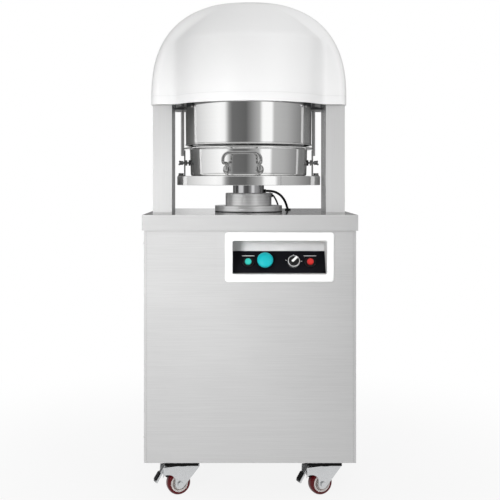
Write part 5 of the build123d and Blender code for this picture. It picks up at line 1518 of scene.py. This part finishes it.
@dataclass
class ControlStation:
    """White bezel, recess, tilted black plate, push buttons and selector."""

    bezel_x: tuple[float, float] = (-0.0635, 0.2125)
    bezel_z: tuple[float, float] = (0.561, 0.687)
    opening_x: tuple[float, float] = (-0.044, 0.194)
    opening_z: tuple[float, float] = (0.581, 0.665)
    face: float = -0.250
    panel: float = -0.245
    corner: float = 0.009
    opening_corner: float = 0.004
    bezel_edge: tuple[tuple[float, float], ...] = (
        (0.0, 0.0032), (0.0004, 0.0018), (0.0014, 0.0006), (0.0032, 0.0))
    plate_low: tuple[float, float] = (-0.223, 0.5815)
    tilt: float = math.radians(30.0)
    up: float = 0.0295
    green: float = -0.0042
    start: float = 0.0391
    selector: float = 0.1128
    red: float = 0.1553
    cap_radius: float = 0.0083
    cap_foot: float = -0.003
    head_radius: float = 0.0205
    head_under: float = 0.0120
    stem_radius: float = 0.0090
    stem_foot: float = -0.0017
    knob_radius: float = 0.0130
    knob_z: tuple[float, float] = (0.0003, 0.0100)
    points_to: float = math.radians(45.0)
    lever_reach: float = 0.0118
    lever_half: tuple[float, float] = (0.0036, 0.0046)
    lever_z: float = 0.0140
    pointer_half: tuple[float, float] = (0.0030, 0.0003)
    pointer_z: float = 0.0186
    ring_radius: tuple[float, float] = (0.0134, 0.0160)
    stroke_half: float = 0.016
    stroke_up: float = 0.0188
    tick_radius: float = 0.0205
    tick_half: float = 0.0018
    tick_angles: tuple[float, ...] = (-72.0, 0.0, 80.0)
    ink_z: float = 0.00002
    ink_half: float = 0.00012

    @property
    def normal(self) -> Point:
        """Direction out of the tilted plate."""
        return (0.0, -math.cos(self.tilt), math.sin(self.tilt))

    def on_plate(self, grid: np.ndarray, x: float, up: Optional[float] = None) -> np.ndarray:
        """Put a grid made about the Z axis onto the plate at a width and a height up its slope.

        Args:
            grid: Points about the Z axis.
            x: The width.
            up: The height up the slope, or None for the row of buttons.

        Returns:
            The moved points.
        """
        up = self.up if up is None else up
        low_y, low_z = self.plate_low
        origin = (x, low_y + math.sin(self.tilt) * up, low_z + math.cos(self.tilt) * up)
        return turned_to(grid, origin, self.normal, (1, 0, 0))

    @staticmethod
    def loop(frame_sizes: np.ndarray, corner: float, y: float) -> np.ndarray:
        """A rounded rectangle at a depth, from the X and Z of its middle and of its half sizes.

        Args:
            frame_sizes: The middle's X and Z, then the half sizes.
            corner: Radius of the corners.
            y: The depth.

        Returns:
            Points round the loop.
        """
        x, z, half_x, half_z = frame_sizes
        flat = rectangle_loop(half_x, half_z, corner)
        return np.column_stack([flat[:, 0] + x, np.full(len(flat), y), flat[:, 1] + z])

    def bezel(self) -> np.ndarray:
        """Rounded rectangles stepped from the outer back edge over the front to the inside of the opening.

        Returns:
            Grid of points on the loops and round them.
        """
        outer, inner = (np.array([sum(x) / 2, sum(z) / 2, (x[1] - x[0]) / 2, (z[1] - z[0]) / 2])
                        for x, z in ((self.bezel_x, self.bezel_z), (self.opening_x, self.opening_z)))
        sizes_only = np.array([0.0, 0.0, 1.0, 1.0])
        edge = [(0.0, self.panel), *((inset, self.face + back) for inset, back in self.bezel_edge)]
        loops = [self.loop(outer - inset * sizes_only, self.corner - inset * 0.5, y) for inset, y in edge]
        loops.append(self.loop((outer + inner) / 2, self.corner * 0.8, self.face))
        loops += [self.loop(inner + inset * sizes_only, self.opening_corner + inset * 0.5, y)
                  for inset, y in reversed(edge)]
        return np.stack(loops + loops[:1])

    def cap(self, name: str, x: float, finish: Finish, slot: str, body: str) -> None:
        """A small push button with a soft edge and a slightly hollow face.

        Args:
            name: The button's colour in words.
            x: Its place across the plate.
            finish: Its finish.
            slot: Its material slot.
            body: The body it rides on and the CAD node it stands for.
        """
        grid = lathe([(0.0, 0.0072, 0), (0.0055, 0.0073, 0.003), (self.cap_radius, 0.0080, 0.0011),
                      (self.cap_radius, self.cap_foot, 0.0002), (0.0, self.cap_foot, 0)], 64, 8)
        Piece(name + "_cap", body, finish, slot).add(self.on_plate(grid, x)).make(body)

    def mushroom(self) -> None:
        """The large start button: a stem under a domed head."""
        grid = lathe([(0.0, 0.0260, 0), (0.0105, 0.0245, 0.008), (self.head_radius, 0.0188, 0.0045),
                      (self.head_radius, self.head_under, 0.0014),
                      (self.stem_radius, self.head_under, 0.0012), (self.stem_radius, self.stem_foot, 0.0002),
                      (0.0, self.stem_foot, 0)], 96, 10)
        piece = Piece("start_mushroom", "start_button", START_TEAL, "signal_teal")
        piece.add(self.on_plate(grid, self.start)).make("start_button")

    def knob(self) -> None:
        """Selector knob with a raised lever and a white pointer line."""
        low, high = self.knob_z
        disc = lathe([(0.0, high, 0), (self.knob_radius, high, 0.0012), (self.knob_radius, low, 0.0004),
                      (0.0, low, 0)], 64)
        direction = bearing_line(self.points_to)
        share = np.linspace(-1, 1, 18)[:, None]
        line = share * direction * self.lever_reach + np.array([0, 0, self.lever_z])
        width = self.lever_half[0] * (1 - 0.18 * np.abs(share[:, 0]) ** 4)
        lever = sweep(line, width, self.lever_half[1], (0, 0, 1), 36, 4.5)
        piece = Piece("selector_lever", "selector", KNOB_BLACK, "selector_black")
        piece.add(self.on_plate(disc, self.selector)).add(self.on_plate(lever, self.selector))
        piece.make("selector_knob")
        bar = (0.2 + 0.78 * share) * direction * self.lever_reach + np.array([0, 0, self.pointer_z])
        mark = sweep(bar, self.pointer_half[0], self.pointer_half[1], (0, 0, 1), 16, 5.0)
        pointer = Piece("selector_pointer", "selector", MARK_WHITE, "selector_black")
        pointer.add(self.on_plate(mark, self.selector)).make()

    def bright_ring(self) -> None:
        """The selector's chrome ring, with a face that falls outwards."""
        inner, outer = self.ring_radius
        ring = lathe([(inner, 0.0, 0), (outer, 0.0, 0.0004), (outer, 0.0105, 0.0016), (inner, 0.0118, 0.0012),
                      (inner, 0.0, 0)], 96)
        piece = Piece("selector_bright_ring", "cabinet", SELECTOR_CHROME, "hard_chrome")
        piece.add(self.on_plate(ring, self.selector)).make("selector_ring")

    def marks(self) -> None:
        """Plain strokes on the plate: one over each small button and three round the selector."""
        ink = Piece("plate_marks", "cabinet", MARK_WHITE, "black_plastic")
        share = np.linspace(-1, 1, 6)[:, None]
        lift = np.array([0, 0, self.ink_z])
        for x in (self.green, self.red):
            path = share * np.array([self.stroke_half, 0, 0]) + lift
            stroke = sweep(path, 0.0007, self.ink_half, (0, 0, 1), 8, 4.0)
            ink.add(self.on_plate(stroke, x, self.up + self.stroke_up))
        for angle in self.tick_angles:
            path = (self.tick_radius + self.tick_half * share) * bearing_line(math.radians(angle)) + lift
            tick = sweep(path, 0.0006, self.ink_half, (0, 0, 1), 8, 4.0)
            ink.add(self.on_plate(tick, self.selector))
        ink.make()

    def build(self) -> None:
        """Make the station's pieces and dress its CAD nodes."""
        bezel = Piece("bezel_moulding", "cabinet", WHITE_BEZEL, "white_moulding")
        bezel.add(self.bezel()).make("control_bezel")
        self.cap("green", self.green, GREEN_CAP, "signal_green", "green_button")
        self.cap("red", self.red, RED_CAP, "signal_red", "red_button")
        self.mushroom()
        self.knob()
        self.bright_ring()
        self.marks()
        RECESS_GREY.dress_nodes("control_recess")
        PLATE_BLACK.dress_nodes("control_plate")
        SWITCH_BLACK.dress_nodes("switch_bodies")


@dataclass
class Castor:
    """One castor: red tyre on a pale hub in a zinc fork, with a brake pedal on the front ones."""

    name: str
    at: tuple[float, float]
    braked: bool
    heading: float = math.radians(200.0)
    trail: float = 0.012
    radius: float = 0.031
    width: float = 0.028
    tread: float = 0.008
    axle: float = 0.004
    bore_gap: float = 0.0001
    boss: float = 2.2
    web_inset: float = 0.010
    pivot: tuple[float, float] = (0.048, 0.072)
    slope: float = math.radians(57.0)
    length: float = 0.042
    lever_half: float = 0.0112
    lever_waist: float = 0.002
    lever_past: float = 0.005
    hinge_pin: tuple[float, float] = (0.0186, 0.003)
    hinge_tube: tuple[float, float] = (0.0120, 0.0058)
    pad_length: float = 0.022
    pad_end: float = 0.026
    pad_out: float = 0.0066
    ribs: int = 5

    def place(self, grid: np.ndarray) -> np.ndarray:
        """Turn points made for a castor that trails along +X to its heading, and move them to its place."""
        return turned_by(grid, self.heading) + np.array([*self.at, 0.0])

    def on_axle(self, half: Sequence[Corner], steps: int) -> np.ndarray:
        """Turn an outline of radius and width, given as its first half, about the axle."""
        grid = lathe(both_sides(half), 96, steps)
        return self.place(turned_to(grid, (self.trail, 0, self.radius), (0, -1, 0), (1, 0, 0)))

    def wheel(self) -> None:
        """Crowned tyre round a dished hub with a raised boss."""
        half = self.width / 2
        inner = self.radius - self.tread
        flat = half - 0.001
        body = self.name + "_wheel"
        tyre = self.on_axle([(inner, 0.0, 0), (inner, flat, 0.0004), (self.radius - 0.0035, flat, 0.003),
                             (self.radius, flat - 0.006, 0.006)], 8)
        Piece(self.name + "_tyre", body, TYRE_RED, "red_tyre").add(tyre).make(self.name + "_castor_wheel")
        bore = self.axle + self.bore_gap
        boss = self.axle * self.boss
        web = half - self.web_inset
        lip = flat - 0.0002
        hub = self.on_axle([(bore, 0.0, 0), (bore, half, 0.0002), (boss, half, 0.0008), (boss, web, 0.0015),
                            (inner - 0.005, web, 0.002), (inner - 0.0045, lip, 0.0006),
                            (inner - 0.0005, lip, 0.0005), (inner, flat - 0.0012, 0.0003)], 5)
        Piece(self.name + "_hub", body, HUB_PALE, "red_tyre").add(hub).make()

    def pedal(self) -> None:
        """Pressed channel that slopes down behind the wheel, with a ribbed black pad and a brake shoe."""
        body = self.name + "_brake"
        hinge = np.array([self.pivot[0], 0, self.pivot[1]])
        along = np.array([math.cos(self.slope), 0, -math.sin(self.slope)])
        out = np.array([math.sin(self.slope), 0, math.cos(self.slope)])
        share = np.linspace(0, 1, 24)
        reach = share[:, None] * (self.length + self.lever_past) - self.lever_past
        waist = self.lever_half - self.lever_waist * np.sin(math.pi * share)
        lever = sweep(hinge + 0.003 * out + reach * along, waist, 0.0036, tuple(out), 32, 5.0)
        metal = Piece(self.name + "_pedal_lever", body, ZINC, "pedal_zinc").add(self.place(lever))
        across = np.linspace(-1, 1, 5)[:, None] * np.array([0, 1, 0])
        for (half, radius), sides in ((self.hinge_pin, 20), (self.hinge_tube, 24)):
            metal.add(self.place(sweep(hinge + half * across, radius, radius, (0, 0, 1), sides)))
        metal.make(self.name + "_brake_pedal")
        down = share[:, None] * self.pad_length + self.length - self.pad_end
        tip = hinge + self.pad_out * out + down * along
        ribs = 0.0022 + 0.0004 * np.cos(share * 2 * self.ribs * math.pi)
        black = Piece(self.name + "_pedal_tip", body, SWITCH_BLACK, "pedal_zinc")
        black.add(self.place(sweep(tip, 0.0098, ribs, tuple(out), 32, 5.0)))
        shoe = hinge - np.stack([0.001 + 0.003 * share, 0 * share, 0.004 + 0.018 * share], axis=-1)
        black.add(self.place(sweep(shoe, 0.0100, 0.0030, (1, 0, 0), 28, 5.0))).make()

    def build(self) -> None:
        """Make the wheel and pedal and dress the fork."""
        self.wheel()
        ZINC.dress_nodes(self.name + "_castor_fork")
        if self.braked:
            self.pedal()


class Cabinet:
    """Brushed cabinet, posts, table and everything fixed to them that keeps its CAD shape."""

    def build(self) -> None:
        """Dress the CAD nodes."""
        PANEL_STEEL.dress_nodes("front_panel", "rear_panel")
        SIDE_STEEL.dress_nodes("left_side_panel", "right_side_panel")
        TABLE_STEEL.dress_nodes("table_top")
        POST_STEEL.dress_nodes("left_post", "right_post")
        SCREW_STEEL.dress_nodes("cover_screws")
        ZINC.dress_nodes("frame_bolts", "oil_fittings")
        # the base frame and castor plates are near-black paint that is partly painted shade under the cabinet
        FRAME_BLACK.dress_nodes("base_frame", "castor_plates")
        FRAME_GREY.dress_nodes("bed_plate", "head_bridge", "electrical_box", "oil_tank")
        KNIFE_STEEL.dress_nodes("knife_grid", "knife_carrier", "press_head")
        MOTOR_GREY.dress_nodes("pump_motor")
        BLACK_RUBBER.dress_nodes("mains_gland")


CASTOR_PLACES: dict[str, tuple[float, float]] = {
    "front_left": (-0.175, -0.1675), "front_right": (0.195, -0.1675),
    "rear_left": (-0.175, 0.1525), "rear_right": (0.195, 0.1525)}


def main() -> None:
    """Build the machine's looks in order."""
    logging.basicConfig(level=logging.INFO, format="%(name)s %(message)s")
    Studio().build()
    SensorCables().build()
    Cabinet().build()
    Hood().build()
    GuardBowl().build()
    DoughPan().build()
    LiftTable().build()
    for side in Side:
        WingClamp(side).build()
    ControlStation().build()
    for name, place in CASTOR_PLACES.items():
        Castor(name, place, braked=name.startswith("front")).build()


if __name__ == "__main__":
    main()
